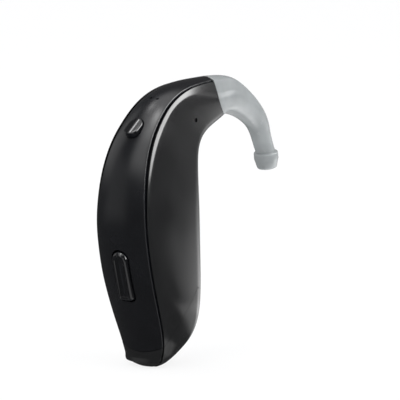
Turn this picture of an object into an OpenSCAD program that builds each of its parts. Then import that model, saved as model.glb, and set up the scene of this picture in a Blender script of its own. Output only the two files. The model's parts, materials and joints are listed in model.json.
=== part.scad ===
// Behind the ear hearing aid with a battery door, a push button and a volume rocker.
// Frame: +Z up, +X towards the ear hook, +Y to the wearer's left. The origin is under
// the middle of the object, on the level of the battery door's foot.
// The casing and the hook are one loft. Its stations run from the foot of the door,
// up the spine, over the nose and down the hook to the nipple. Each station is a
// section plane through a point on the spine's seam and a point on the front face.

/* [Casing] */
// Height from the foot of the door to the top of the casing
body_height = 37.6; // [35:0.2:42]
// Depth from the front face to the crown of the spine at mid height
body_depth = 13.8; // [13.4:0.1:16]
// Width across the side panels
body_width = 9.3; // [9:0.1:10.5]
// Wall of the two moulded shells
shell_wall = 0.7; // [0.55:0.05:0.8]
// Wall of the spine cover
spine_wall = 0.6; // [0.45:0.05:0.7]
// Crown of the spine cover over its seam where the casing is widest
spine_crown = 1.15; // [1:0.05:1.3]
// Edge of the spine cover that stands proud of its seam
spine_edge = 0.25; // [0.15:0.05:0.35]
// Groove between the spine cover and the shells
seam_gap = 0.2; // [0.1:0.05:0.3]
// Bow of the front face across its width
front_bow = 0.25; // [0.1:0.05:0.4]
// Radius of the rounded nose that the hook wraps round
nose_r = 2.9; // [2.8:0.05:3.1]
// Radius of the cross pin that holds the shells together
cross_pin_r = 0.3; // [0.2:0.05:0.4]

/* [Ear hook] */
// Reach from the front face to the axis of the nipple
hook_reach = 18.45; // [17:0.25:20]
// Half height of the hook at its root
hook_root_r = 2.55; // [2.4:0.05:2.7]
// Half width of the hook at its root
hook_root_half = 2.22; // [2.1:0.02:2.4]
// Radius of the hook's round end
hook_tube_r = 1.32; // [1.2:0.01:1.4]
// Radius of the sound channel
channel_r = 0.7; // [0.5:0.05:0.8]
// Lean of the nipple from the vertical
nipple_lean = 8; // [0:1:15]
// Radius of the nipple's collar
nipple_r = 1.65; // [1.55:0.05:1.8]
// Radius of the nipple's mouth
nipple_mouth_r = 1.32; // [1.2:0.02:1.4]
// Length of the nipple that the tubing covers
nipple_length = 2.1; // [1.8:0.1:2.6]
// Length of the collar's straight land
nipple_land = 0.8; // [0.6:0.1:1]
// Radius of the nozzle that the hook is pushed onto
nozzle_r = 1; // [0.95:0.05:1.1]
// Reach of the nozzle before the top of the nose
nozzle_out = 3.2; // [3:0.1:3.4]
// Section radius of the nozzle's seal ring
seal_r = 0.22; // [0.18:0.01:0.25]

/* [Battery and door] */
// Radius of a size 13 cell
cell_r = 3.95; // [3.9:0.01:3.98]
// Thickness of a size 13 cell
cell_t = 5.4; // [5.2:0.05:5.4]
// Radius of the door's hinge pin
hinge_pin_r = 0.4; // [0.3:0.05:0.45]
// Half width of the door's knuckle
knuckle_half = 2.7; // [2.5:0.05:2.8]
// Radius of the door's knuckle and of the shells' ears beside it
knuckle_r = 1.75; // [1.6:0.05:1.8]
// Depth of the hinge behind the front face
hinge_inset = 1.15; // [1.05:0.05:1.25]
// Wall of the door's cradle round the cell
cradle_wall = 0.45; // [0.4:0.05:0.5]
// Height of the door's fingernail lip
lip_height = 1.7; // [1.4:0.1:1.8]
// Reach of the fingernail lip past the spine
lip_reach = 0.3; // [0.15:0.05:0.4]
// Hairline between the door and the shells
door_gap = 0.08; // [0.05:0.01:0.15]

/* [Controls] */
// Length of the push button along the spine
button_length = 3; // [2.6:0.1:3.2]
// Width of the push button
button_width = 2.2; // [1.8:0.1:2.3]
// Height of the button's lower end over the spine
button_rise = 0.85; // [0.6:0.05:1.1]
// Travel of the push button
button_travel = 0.3; // [0.2:0.05:0.3]
// Length of the volume rocker along the spine
rocker_length = 7.1; // [6.8:0.1:7.3]
// Width of the volume rocker
rocker_width = 2.5; // [2.3:0.1:2.7]
// Height of the rocker's rim over the spine
rocker_rise = 0.4; // [0.3:0.05:0.5]
// Half swing of the volume rocker
rocker_swing = 4; // [3:0.5:4]
// Radius of a microphone port
port_r = 0.2; // [0.15:0.01:0.3]

/* [Inside] */
// Half width of the chassis plate
chassis_half = 1.6; // [1.4:0.05:1.8]
// Length of the receiver
receiver_length = 6.3; // [5.8:0.1:6.4]
// Height of the receiver
receiver_height = 4.1; // [3.8:0.1:4.2]
// Width of the receiver
receiver_width = 2.9; // [2.7:0.1:3]
// Rubber sleeve round the receiver
sleeve_wall = 0.35; // [0.25:0.05:0.4]
// Thickness of the main board
board_t = 0.5; // [0.4:0.05:0.6]

/* [Hidden] */
$fn = 48;

// Clearance of a running fit
fit_gap = 0.05;
// Gap between inner pieces that don't touch
ease_gap = 0.15;
// Overrun of every cut
over = 1;

// Plane of the front face, which centres the object on its origin
front_x = (body_depth - hook_reach - nipple_r) / 2;
// Half width of the spine where the casing is widest
spine_max_share = 0.468;

// One row per station of the casing: the seam point and the front point, each as
// a share of depth behind the front face (of the hook's reach where it is before
// it) and of height, then the half width at the seam, the half width of the side
// panel and the bevel along the seam, as shares of the casing's width.
casing_shares = [
    [0.55, 0, 0.5, 0, 0.14, 0.155, 0.02],
    [0.578, 0.015, 0.395, 0.019, 0.28, 0.297, 0.068],
    [0.592, 0.048, 0.239, 0.058, 0.352, 0.375, 0.102],
    [0.608, 0.09, 0.1, 0.098, 0.392, 0.42, 0.148],
    [0.66, 0.149, 0.02, 0.152, 0.426, 0.455, 0.17],
    [0.734, 0.223, -0.001, 0.231, 0.449, 0.5, 0.148],
    [0.837, 0.335, -0.004, 0.343, 0.468, 0.5, 0.114],
    [0.903, 0.447, 0.004, 0.452, 0.468, 0.5, 0.085],
    [0.935, 0.556, 0.011, 0.556, 0.46, 0.5, 0.068],
    [0.891, 0.697, 0.007, 0.652, 0.428, 0.466, 0.057],
    [0.783, 0.801, -0.008, 0.718, 0.386, 0.426, 0.057],
    [0.652, 0.867, -0.032, 0.758, 0.35, 0.392, 0.057],
    [0.464, 0.931, -0.081, 0.787, 0.315, 0.349, 0.063],
    [0.225, 0.971, -0.151, 0.809, 0.285, 0.318, 0.091],
    [-0.032, 0.987, -0.243, 0.826, 0.25, 0.29, 0.136],
    [-0.265, 0.987, -0.357, 0.843, 0.2, 0.26, 0.193]
];

// One row per station of the hook: its middle as shares of reach and of height,
// the swell from the round end to the root, the seam's half width as a share of
// the side's, and how far the section has become round.
hook_shares = [
    [-0.457, 0.917, 0.953, 0.7, 0.15],
    [-0.584, 0.901, 0.727, 0.7, 0.4],
    [-0.729, 0.864, 0.477, 0.7, 0.7],
    [-0.842, 0.822, 0.305, 0.7, 0.9],
    [-0.902, 0.786, 0.188, 0.7, 1],
    [-0.935, 0.75, 0.055, 0.7, 1],
    [-0.962, 0.716, 0.008, 0.7, 1],
    [-1, 0.676, 0, 0.7, 1]
];
// Bevel of the hook's root as a share of its half width
hook_bevel_share = 0.7;

function share_x(s) = s < 0 ? front_x - hook_reach * s : front_x - body_depth * s;

function casing_row(r) = [
    share_x(r[0]), body_height * r[1],
    share_x(r[2]), body_height * r[3],
    body_width * r[4], body_width * r[5], body_width * r[6], 0
];

// Middle of a hook station and the direction of travel there
function hook_mid(i) = [share_x(hook_shares[i][0]), body_height * hook_shares[i][1]];
function hook_way(i) = i == len(hook_shares) - 1
    ? [sin(nipple_lean), -cos(nipple_lean)]
    : unit(hook_mid(i + 1) - (i > 0 ? hook_mid(i - 1) : hook_mid(i)));

function hook_row(i) = let(
    s = hook_shares[i],
    way = hook_way(i),
    up = [-way[1], way[0]],
    r = hook_tube_r + (hook_root_r - hook_tube_r) * s[2],
    half = hook_tube_r + (hook_root_half - hook_tube_r) * s[2],
    top = hook_mid(i) + r * up,
    low = hook_mid(i) - r * up)
    [top[0], top[1], low[0], low[1], half * s[3], half, half * hook_bevel_share, s[4]];

function unit(v) = v / norm(v);

rows = concat(
    [for (r = casing_shares) casing_row(r)],
    [for (i = [0:len(hook_shares) - 1]) hook_row(i)]);
last_row = len(rows) - 1;
nose_row = len(casing_shares) - 1;

// A smooth curve through the rows: a cubic spline on rows that are first eased
function row_at(tab, i) =
    i < 0 ? 2 * tab[0] - tab[-i] :
    i > last_row ? 2 * tab[last_row] - tab[2 * last_row - i] : tab[i];
eased_rows = [for (i = [0:last_row])
    rows[i] - (row_at(rows, i - 1) - 2 * rows[i] + row_at(rows, i + 1)) / 6];
function station(u) = let(
    i = min(floor(u), last_row - 1),
    f = u - i)
    (row_at(eased_rows, i - 1) * pow(1 - f, 3)
    + row_at(eased_rows, i) * (3 * pow(f, 3) - 6 * pow(f, 2) + 4)
    + row_at(eased_rows, i + 1) * (3 * f + 3 * pow(f, 2) - 3 * pow(f, 3) + 1)
    + row_at(eased_rows, i + 2) * pow(f, 3)) / 6;

function seam(r) = [r[0], r[1]];
function front(r) = [r[2], r[3]];
function depth(r) = norm(front(r) - seam(r));
function crown(r) = spine_crown * r[4] / (body_width * spine_max_share);
function edge(r) = spine_edge * r[4] / (body_width * spine_max_share);
// Height of the spine cover's underside over the seam
function under(r) = max(0, crown(r) - spine_wall);

// Places across half of a section, from the middle of the spine to the seam
crown_shares = [0, 0.35, 0.65, 0.88, 1];
side_shares = [0.2, 0.45, 0.72, 1];
// How much of the side's swell the bevel takes up
bevel_out_share = 0.7;
// Where the side panel is widest, and how far it draws in at the front corner
side_peak_share = 0.45;
side_flat_share = 0.72;
side_taper_share = 0.03;
corner_share = 0.48;
corner_depth_share = 0.45;
function corner_r(r) = min(r[5] * corner_share, depth(r) * corner_depth_share);

function spine_curve(r, half, s) = [half * s, -edge(r) - (crown(r) - edge(r)) * (1 - s * s)];
function side_y(r, q) = q < side_peak_share
    ? r[5] - (r[5] - r[4]) * (1 - bevel_out_share) * pow(1 - q / side_peak_share, 2)
    : r[5] * (1 - side_taper_share * pow(max(0, q - side_flat_share) / (1 - side_flat_share), 2));
corner_steps = 4;

// The side of half a section, from the bevel's end to the middle of the front face
function half_side(r) = let(
    corner = corner_r(r),
    flat_y = r[5] * (1 - side_taper_share) - corner,
    corner_a = depth(r) - front_bow - corner,
    bevel_y = r[4] + (r[5] - r[4]) * bevel_out_share)
    concat(
        [[bevel_y, r[6]]],
        [for (q = side_shares) [side_y(r, q), r[6] + (corner_a - r[6]) * q]],
        [for (i = [1:corner_steps]) let(turn = 90 * i / corner_steps)
            [flat_y + corner * cos(turn), corner_a + corner * sin(turn)]],
        [[0, depth(r)]]);
function half_skin(r) = let(
    plain = concat([for (s = crown_shares) spine_curve(r, r[4], s)], half_side(r)),
    n = len(plain) - 1,
    mid = depth(r) / 2)
    [for (i = [0:n]) let(turn = 180 * i / n)
        plain[i] * (1 - r[7]) + [r[5] * sin(turn), mid - mid * cos(turn)] * r[7]];

// A point of a section in space, from its place across and its depth from the seam
function place(r, p) = let(way = unit(front(r) - seam(r)))
    [r[0] + way[0] * p[1], p[0], r[1] + way[1] * p[1]];

function skin_ring(r) = let(h = half_skin(r), n = len(h) - 1) concat(
    [for (i = [0:n]) place(r, h[i])],
    [for (i = [n - 1:-1:1]) place(r, [-h[i][0], h[i][1]])]);

// A half section moved inwards by a wall
function inset(h, wall) = [for (i = [0:len(h) - 1]) let(
    n = len(h) - 1,
    way = unit(h[min(n, i + 1)] - h[max(0, i - 1)]))
    i == 0 ? h[i] - [wall, 0] :
    i == n ? h[i] - [0, wall] : h[i] + wall * [-way[1], way[0]]];
function shell_ring(r, side) = let(
    outer = concat([[r[4], 0]], half_side(r)),
    inner = inset(outer, shell_wall),
    n = len(outer) - 1)
    [for (p = concat(outer, [for (i = [n:-1:0]) inner[i]])) place(r, [side * p[0], p[1]])];

under_shares = [0, 0.33, 0.6, 0.8, 0.94, 1];
function spine_ring(r) = let(
    half = r[4] - seam_gap,
    seat = r[4] - shell_wall,
    n = len(crown_shares) - 1,
    top = concat([for (s = crown_shares) spine_curve(r, half, s)], [[half, 0]]),
    low = [for (s = under_shares) [seat * s, -under(r) * (1 - s * s)]])
    [for (p = concat(
        [for (i = [n + 1:-1:1]) [-top[i][0], top[i][1]]], top,
        [for (i = [n + 1:-1:1]) low[i]], [for (p = low) [-p[0], p[1]]])) place(r, p)];

// Closes a stack of rings into a solid. Each cap is a strip between the two sides of
// its ring, where point j faces point fold - j.
function strip(n, fold, first, flip) = [
    for (j = [0:ceil(fold / 2) - 1], part = [0, 1]) let(
        a = j, b = j + 1, c = (fold - j - 1) % n, d = (fold - j) % n,
        t = part == 0 ? [a, b, c] : [a, c, d])
        if (t[0] != t[1] && t[1] != t[2] && t[0] != t[2])
            [for (k = flip ? [2, 1, 0] : [0, 1, 2]) first + t[k]]];
module loft(rings, fold, turned = false) {
    n = len(rings[0]);
    last = (len(rings) - 1) * n;
    sides = [for (i = [0:len(rings) - 2], j = [0:n - 1], part = [0, 1]) let(
        a = i * n + j, b = i * n + (j + 1) % n, c = b + n, d = a + n,
        t = part == 0 ? [a, b, c] : [a, c, d])
        turned ? t : [t[2], t[1], t[0]]];
    polyhedron(
        [for (ring = rings, p = ring) p],
        concat(sides, strip(n, fold, 0, turned), strip(n, fold, last, !turned)));
}
function stops(from, to, count) = [for (i = [0:count]) from + (to - from) * i / count];

// The whole outer skin between two stations
module skin(from, to, count) {
    rings = [for (u = stops(from, to, count)) skin_ring(station(u))];
    loft(rings, len(rings[0]), true);
}

// Step between stations for a direction of travel
step_share = 0.002;
step_u = step_share * last_row;
// Frames on the spine: X runs up the spine, Z points out of it, from the seam's level
function back_way(u) = unit(seam(station(u + step_u)) - seam(station(u - step_u)));
function back_turn(u) = atan2(-back_way(u)[1], back_way(u)[0]);
module on_back(u) {
    p = seam(station(u));
    translate([p[0], 0, p[1]]) rotate([0, back_turn(u), 0]) children();
}
module pin_along_y(r, half) { rotate([90, 0, 0]) cylinder(r = r, h = 2 * half, center = true); }
module slot_2d(length, width) {
    square([length - width, width], center = true);
    for (side = [-1, 1]) translate([side * (length - width) / 2, 0]) circle(d = width);
}

// Places of the controls and ports, as shares of the way from the foot to the nipple
rocker_share = 0.267;
button_share = 0.467;
rear_port_share = 0.533;
front_mic_share = 0.605;
button_u = button_share * last_row;
rocker_u = rocker_share * last_row;
rear_port_u = rear_port_share * last_row;
front_mic_u = front_mic_share * last_row;

// Cell, hinge and door
// Middle of the cell, as shares of the casing's depth and height
cell_place_share = [0.366, 0.234];
cell_x = front_x - body_depth * cell_place_share[0];
cell_z = body_height * cell_place_share[1];
pocket_r = cell_r + ease_gap;
cradle_r = pocket_r + cradle_wall;
cradle_half = cell_t / 2 - ease_gap;
// The hinge keeps its pin and a wall clear of the cell
hinge_x = front_x - hinge_inset;
hinge_reach = cell_r + hinge_pin_r + cradle_wall + ease_gap;
hinge_z = cell_z + sqrt(pow(hinge_reach, 2) - pow(hinge_x - cell_x, 2));
hinge_ear_share = 0.22;
hinge_pin_half = knuckle_half + hinge_ear_share * (body_width / 2 - knuckle_half);
// Station where the spine cover ends and the door's back begins
door_end_share = 0.123;
// Station above which nothing of the door is left
door_high_share = 0.348;
door_end_u = door_end_share * last_row;
door_way = unit(seam(station(door_end_u)) - [hinge_x, hinge_z]);

module at_hinge() { translate([hinge_x, 0, hinge_z]) children(); }
// The wedge under the hinge that belongs to the door, moved off its seam by a gap
module door_wedge(gap = 0) {
    far = body_height;
    slip = gap * [-door_way[1], door_way[0]];
    at_hinge() rotate([90, 0, 0]) linear_extrude(2 * body_width, center = true)
        polygon([slip, slip + far * door_way, [-far, -far], [far, -far], [far, slip[1]]]);
}
module beside_knuckle(r) {
    for (side = [-1, 1]) at_hinge() translate([0, side * (knuckle_half + body_width / 2), 0])
        pin_along_y(r, body_width / 2);
}
// What the door leaves of the shells, the spine cover and the chassis
module door_cut() {
    difference() {
        door_wedge();
        beside_knuckle(knuckle_r);
    }
    at_hinge() pin_along_y(knuckle_r + door_gap, knuckle_half);
}
// Round face between the casing's nose and the hook, for a solid before the nose
nose_centre_share = -0.108;
nose_lean = 24;
nose_x = share_x(nose_centre_share);
nose_z = body_height;
module at_nose() { translate([nose_x, 0, nose_z]) rotate([0, -nose_lean, 0]) children(); }
module nose_bar(r) { translate([0, 0, -body_height]) cylinder(r = r, h = 2 * body_height); }
// Everything in front of the round face, or everything behind it
module nose_cut() {
    at_nose() difference() {
        translate([0, -body_width, -body_height])
            cube([2 * hook_reach, 2 * body_width, 2 * body_height]);
        nose_bar(nose_r);
    }
}
module hook_cut() {
    at_nose() nose_bar(nose_r + fit_gap);
    at_nose() translate([-2 * hook_reach, -body_width, -body_height])
        cube([2 * hook_reach, 2 * body_width, 2 * body_height]);
}

// Shells and spine cover
shell_stations = 30;
shell_low_share = 0.052;
shell_low_u = shell_low_share * last_row;
module shell(side) {
    difference() {
        loft([for (u = stops(shell_low_u, nose_row + 1, shell_stations)) shell_ring(station(u), side)],
            2 * len(half_side(rows[0])) + 1, side > 0);
        door_cut();
        nose_cut();
        at_hinge() pin_along_y(hinge_pin_r, hinge_pin_half);
        at_cross_pin() pin_along_y(cross_pin_r, body_width);
    }
}
// The cross pin crosses behind the nose, between spine and front
cross_pin_share = 0.548;
cross_pin_u = cross_pin_share * last_row;
cross_pin_depth_share = 0.56;
cross_pin_half_share = 0.3;
module at_cross_pin() {
    p = place(station(cross_pin_u), [0, depth(station(cross_pin_u)) * cross_pin_depth_share]);
    translate(p) children();
}
module left_shell() { color("#2b2d30") shell(1); }
module right_shell() { color("#2b2d30") shell(-1); }

button_top = button_rise + crown(station(button_u));
rocker_top = rocker_rise + crown(station(rocker_u));
control_gap = 0.12;
rocker_end_gap = rocker_top * sin(rocker_swing) + control_gap;
module rocker_2d(grow) {
    offset_x = (rocker_length - rocker_width) / 2;
    end_x = rocker_length / 2 + grow;
    round_r = rocker_width / 4;
    translate([offset_x, 0]) circle(r = rocker_width / 2 + grow);
    translate([-end_x + round_r, -rocker_width / 2 - grow])
        square([end_x - round_r + offset_x, rocker_width + 2 * grow]);
    translate([-end_x, -rocker_width / 2 - grow + round_r])
        square([round_r, rocker_width + 2 * (grow - round_r)]);
    for (side = [-1, 1]) translate([-end_x + round_r, side * (rocker_width / 2 + grow - round_r)])
        circle(r = round_r);
}
// The two ports of the rear microphone lie side by side across the spine
port_apart = 1.1;
module ports(r, low, high) {
    on_back(rear_port_u) for (side = [-1, 1]) translate([0, side * port_apart / 2, low])
        cylinder(r = r, h = high - low);
}
spine_stations = 34;
spine_low_share = 0.078;
spine_low_u = spine_low_share * last_row;
// Inlets of the front microphone, in the cover's edges by the hook
front_inlet_share = 0.63;
front_inlet_u = front_inlet_share * last_row;
inlet_length = 1.2;
inlet_depth = 0.35;
module spine_cover() {
    color("#23252a") difference() {
        loft([for (u = stops(spine_low_u, nose_row + 1, spine_stations)) spine_ring(station(u))],
            4 * len(crown_shares) + 1, true);
        door_wedge(-door_gap);
        nose_cut();
        on_back(button_u) translate([0, 0, -over]) linear_extrude(body_width)
            slot_2d(button_length + 2 * control_gap, button_width + 2 * control_gap);
        on_back(rocker_u) translate([0, 0, -over]) linear_extrude(body_width)
            rocker_2d(rocker_end_gap);
        ports(port_r, -over, body_width);
        on_back(front_inlet_u) for (side = [-1, 1])
            translate([0, side * station(front_inlet_u)[4], 0]) block(inlet_length, inlet_depth, 2 * inlet_depth, -inlet_depth);
    }
}

// Hook: the skin goes on past the nose as one moulded piece
hook_stations = 22;
hook_low_share = 0.6;
nipple_at = hook_mid(len(hook_shares) - 1);
module at_nipple() { translate([nipple_at[0], 0, nipple_at[1]]) rotate([0, 180 - nipple_lean, 0]) children(); }
// The nozzle points forwards from the nose, on the root's middle line
nozzle_height_share = 0.925;
nozzle_z = body_height * nozzle_height_share;
nozzle_tip_x = nose_x + nose_r + nozzle_out;
socket_r = nozzle_r + seal_r + fit_gap;
module along_nozzle() { translate([nozzle_tip_x, 0, nozzle_z]) rotate([0, 90, 0]) children(); }
damper_length = 1.4;
channel_sides = 14;
channel_start_share = 0.735;
module channel() {
    turn = [for (i = [0:channel_sides - 1]) 360 * i / channel_sides];
    start = channel_start_share * last_row;
    rings = [for (u = stops(start, last_row - step_u, 16)) let(
        r = station(u),
        way = unit(front(r) - seam(r)),
        mid = (front(r) + seam(r)) / 2)
        [for (t = turn) [mid[0] + channel_r * cos(t) * way[0], channel_r * sin(t),
            mid[1] + channel_r * cos(t) * way[1]]]];
    loft(rings, channel_sides);
}
module ear_hook() {
    color("#c9cccf") difference() {
        union() {
            skin(hook_low_share * last_row, last_row, hook_stations);
            at_nipple() nipple();
        }
        hook_cut();
        along_nozzle() translate([0, 0, -2 * nozzle_out]) cylinder(r = socket_r, h = 2 * nozzle_out + fit_gap);
        along_nozzle() cylinder(r = channel_r + ease_gap, h = damper_length + fit_gap);
        channel();
        at_nipple() translate([0, 0, -nipple_length / 2])
            cylinder(r = channel_r + fit_gap / 2, h = nipple_length * 2);
    }
}
lip_step = 0.15;
module nipple() {
    rotate_extrude() polygon([
        [0, -lip_step], [nipple_r - lip_step, -lip_step], [nipple_r, 0],
        [nipple_r, nipple_land], [nipple_mouth_r, nipple_length - lip_step],
        [nipple_mouth_r - lip_step, nipple_length], [0, nipple_length]]);
}
module acoustic_damper() {
    color("#8d9299") along_nozzle() translate([0, 0, fit_gap]) difference() {
        cylinder(r = channel_r + ease_gap - fit_gap / 2, h = damper_length - fit_gap);
        translate([0, 0, -over]) cylinder(r = channel_r / 2, h = damper_length + over - 2 * fit_gap);
    }
}

// Door with its cradle for the cell
module at_cell() { translate([cell_x, 0, cell_z]) children(); }
// The fingernail lip stands out of the door's back between two stations
lip_low_share = 0.048;
lip_low_u = lip_low_share * last_row;
lip_high_u = lip_low_u + lip_height / (body_height * (casing_shares[3][1] - casing_shares[2][1]));
function lip_row(u) = let(
    r = station(u),
    way = unit(front(r) - seam(r)),
    reach = lip_reach * (lip_high_u - u) / (lip_high_u - lip_low_u))
    [r[0] - way[0] * reach, r[1] - way[1] * reach, r[2], r[3],
        min(r[4] + reach, r[5]), r[5], r[6], r[7]];
module battery_door() {
    color("#26282b") difference() {
        union() {
            door_skin();
            loft([for (u = stops(lip_low_u, lip_high_u - step_u, 6)) skin_ring(lip_row(u))],
                len(skin_ring(rows[0])), true);
            difference() {
                at_cell() pin_along_y(cradle_r, cradle_half);
                cradle_mouth();
            }
        }
        at_cell() pin_along_y(pocket_r, cell_t / 2 + fit_gap);
        at_hinge() pin_along_y(hinge_pin_r + fit_gap, body_width);
    }
}
module door_skin() {
    intersection() {
        skin(0, door_high_share * last_row, 16);
        union() {
            difference() {
                door_wedge(door_gap);
                beside_knuckle(knuckle_r + door_gap);
            }
            at_hinge() pin_along_y(knuckle_r, knuckle_half - fit_gap);
        }
    }
}
// The cradle is open above the cell, towards the chassis
module cradle_mouth() {
    far = 2 * cell_r;
    at_cell() rotate([90, 0, 0]) linear_extrude(body_width, center = true)
        polygon([[0, 0], [-far, far], [-far / 2, 2 * far], [far, 2 * far], [far, far]]);
}
module battery() {
    color("#c3c6c9") at_cell() pin_along_y(cell_r, cell_t / 2);
}
module door_hinge_pin() { color("#b8bcc0") at_hinge() pin_along_y(hinge_pin_r, hinge_pin_half); }
module upper_cross_pin() {
    color("#5b5f64") at_cross_pin() pin_along_y(cross_pin_r, body_width * cross_pin_half_share);
}

// Frames inside the casing: X runs up the middle line, Z points to the spine
function mid(r) = (seam(r) + front(r)) / 2;
function mid_way(u) = unit(mid(station(u + step_u)) - mid(station(u - step_u)));
module at_mid(u, share) {
    p = place(station(u), [0, depth(station(u)) * share]);
    translate(p) rotate([0, atan2(-mid_way(u)[1], mid_way(u)[0]), 0]) children();
}
module block(length, width, height, low = 0) {
    translate([-length / 2, -width / 2, low]) cube([length, width, height]);
}
module rod(from, to, r) {
    way = to - from;
    translate(from) rotate([0, acos(way[2] / norm(way)), atan2(way[1], way[0])])
        cylinder(r = r, h = norm(way), $fn = 24);
}

// Chassis
back_inset = shell_wall - ease_gap;
front_inset = shell_wall + front_bow + ease_gap;
nose_half = 0.8;
module chassis_plate(from, to, count, half) {
    list = stops(from, to, count);
    back = [for (u = list) let(p = place(station(u), [0, back_inset])) [p[0], p[2]]];
    face = [for (u = list) let(p = place(station(u), [0, depth(station(u)) - front_inset])) [p[0], p[2]]];
    rotate([90, 0, 0]) linear_extrude(2 * half, center = true)
        polygon(concat(back, [for (i = [count:-1:0]) face[i]]));
}
chassis_low_share = 0.248;
chassis_step_share = 0.491;
chassis_overlap_share = 0.504;
chassis_low_u = chassis_low_share * last_row;
module chassis() {
    color("#d9d6cc") difference() {
        union() {
            difference() {
                chassis_plate(chassis_low_u, chassis_overlap_share * last_row, 10, chassis_half);
                on_back(rocker_u) block(rocker_bay, body_width, body_width, rocker_board_low);
            }
            chassis_plate(chassis_step_share * last_row, nose_row + 1, 8, nose_half);
            contact_block();
            rocker_ears();
        }
        at_cell() pin_along_y(cradle_r + 2 * ease_gap, body_width);
        at_hinge() pin_along_y(knuckle_r + 2 * ease_gap, body_width);
        on_back(button_u) block(button_bay, body_width, body_width, button_switch_low);
        on_back(rear_port_u) block(rear_boot[0], body_width, body_width, -rear_boot[2] - mesh_t);
        on_back(front_mic_u) block(front_boot[0], body_width, body_width, -front_boot[2] - mesh_t);
        at_receiver() block(receiver_length + 2 * ease_gap, body_width,
            receiver_height + 2 * sleeve_wall, -receiver_height / 2 - sleeve_wall);
        pipe(tube_outer_r + ease_gap, 0);
        along_nozzle() translate([0, 0, -nozzle_length]) cylinder(r = nozzle_flange_r, h = nozzle_flange_t);
        along_nozzle() translate([0, 0, -nozzle_length]) cylinder(r = nozzle_r, h = nozzle_length);
        at_board() translate([0, -body_width / 2 - board_seat, 0])
            block(board_length + 2 * ease_gap, body_width, board_height + 2 * ease_gap,
                -board_height / 2 - ease_gap);
        at_telecoil() rotate([0, 90, 0])
            cylinder(r = telecoil_r + ease_gap, h = telecoil_length + 2 * ease_gap, center = true);
        at_cross_pin() pin_along_y(cross_pin_r, body_width);
        contact_lead_paths(lead_r + fit_gap);
        receiver_lead_paths(lead_r + fit_gap);
        at_nose() difference() {
            translate([0, -body_width, -body_height])
                cube([2 * hook_reach, 2 * body_width, 2 * body_height]);
            nose_bar(nose_r - ease_gap);
        }
    }
}
contact_width = 1.6;
contact_back = 1.2;
contact_x = cell_x - contact_back;
contact_rise = 1;
contact_top = cell_z + cradle_r + contact_rise + contact_width;
contact_t = 0.2;
contact_half = cell_t / 2 + fit_gap;
module contact_block() {
    translate([contact_x, 0, contact_top - contact_width])
        block(contact_width, 2 * contact_half, contact_width);
}

// Hook nozzle, its seal and the receiver's sound path
nozzle_length = 5.2;
nozzle_flange_r = 1.5;
nozzle_flange_t = 0.6;
nozzle_stub = 0.9;
spout_r = 0.75;
bore_r = 0.5;
tube_outer_r = 1.05;
seal_back = 0.9;
module hook_nozzle() {
    color("#9aa0a6") along_nozzle() difference() {
        union() {
            translate([0, 0, -nozzle_length]) cylinder(r = nozzle_r, h = nozzle_length);
            translate([0, 0, -nozzle_length]) cylinder(r = nozzle_flange_r, h = nozzle_flange_t);
            translate([0, 0, -nozzle_length - nozzle_stub]) cylinder(r = spout_r, h = nozzle_stub + fit_gap);
        }
        translate([0, 0, -nozzle_length - nozzle_stub - over])
            cylinder(r = bore_r, h = nozzle_length + nozzle_stub + 2 * over);
        translate([0, 0, -seal_back]) seal_ring();
    }
}
module seal_ring() { rotate_extrude() translate([nozzle_r, 0]) circle(r = seal_r, $fn = 24); }
module nozzle_seal() {
    color("#1c1d1f") along_nozzle() translate([0, 0, -seal_back]) seal_ring();
}
receiver_share = 0.45;
receiver_u = receiver_share * last_row;
module at_receiver() { at_mid(receiver_u, 0.5) children(); }
spout_length = 0.9;
spout_high_share = 0.22;
module receiver() {
    color("#b9bdc1") at_receiver() {
        block(receiver_length, receiver_width, receiver_height, -receiver_height / 2);
        translate([receiver_length / 2 - fit_gap, 0, receiver_height * spout_high_share])
            rotate([0, 90, 0]) cylinder(r = spout_r, h = spout_length + fit_gap);
    }
}
sleeve_length = 5;
module receiver_sleeve() {
    color("#54585c") at_receiver() difference() {
        block(sleeve_length, receiver_width + 2 * sleeve_wall,
            receiver_height + 2 * sleeve_wall, -receiver_height / 2 - sleeve_wall);
        block(receiver_length, receiver_width, receiver_height, -receiver_height / 2);
    }
}
// The tube's middle line bends from the receiver's spout to the nozzle's stub
receiver_at = place(station(receiver_u), [0, depth(station(receiver_u)) * 0.5]);
receiver_way = mid_way(receiver_u);
function from_receiver(x, z) = [
    receiver_at[0] + receiver_way[0] * x - receiver_way[1] * z,
    receiver_at[2] + receiver_way[1] * x + receiver_way[0] * z];
tube_from = from_receiver(receiver_length / 2 + fit_gap, receiver_height * spout_high_share);
tube_to = [nozzle_tip_x - nozzle_length, nozzle_z];
tube_pull_share = 0.42;
tube_pull = norm(tube_to - tube_from) * tube_pull_share;
function tube_point(t) =
    pow(1 - t, 3) * tube_from + 3 * t * pow(1 - t, 2) * (tube_from + receiver_way * tube_pull)
    + 3 * t * t * (1 - t) * (tube_to - [tube_pull, 0]) + pow(t, 3) * tube_to;
tube_steps = 10;
tube_sides = 14;
function tube_ring(t, r) = let(
    p = tube_point(t),
    way = unit(tube_point(min(1, t + tube_step_t)) - tube_point(max(0, t - tube_step_t))))
    [for (i = [0:tube_sides - 1]) let(turn = 360 * i / tube_sides)
        [p[0] - r * cos(turn) * way[1], r * sin(turn), p[1] + r * cos(turn) * way[0]]];
tube_step_t = 0.01;
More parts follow.
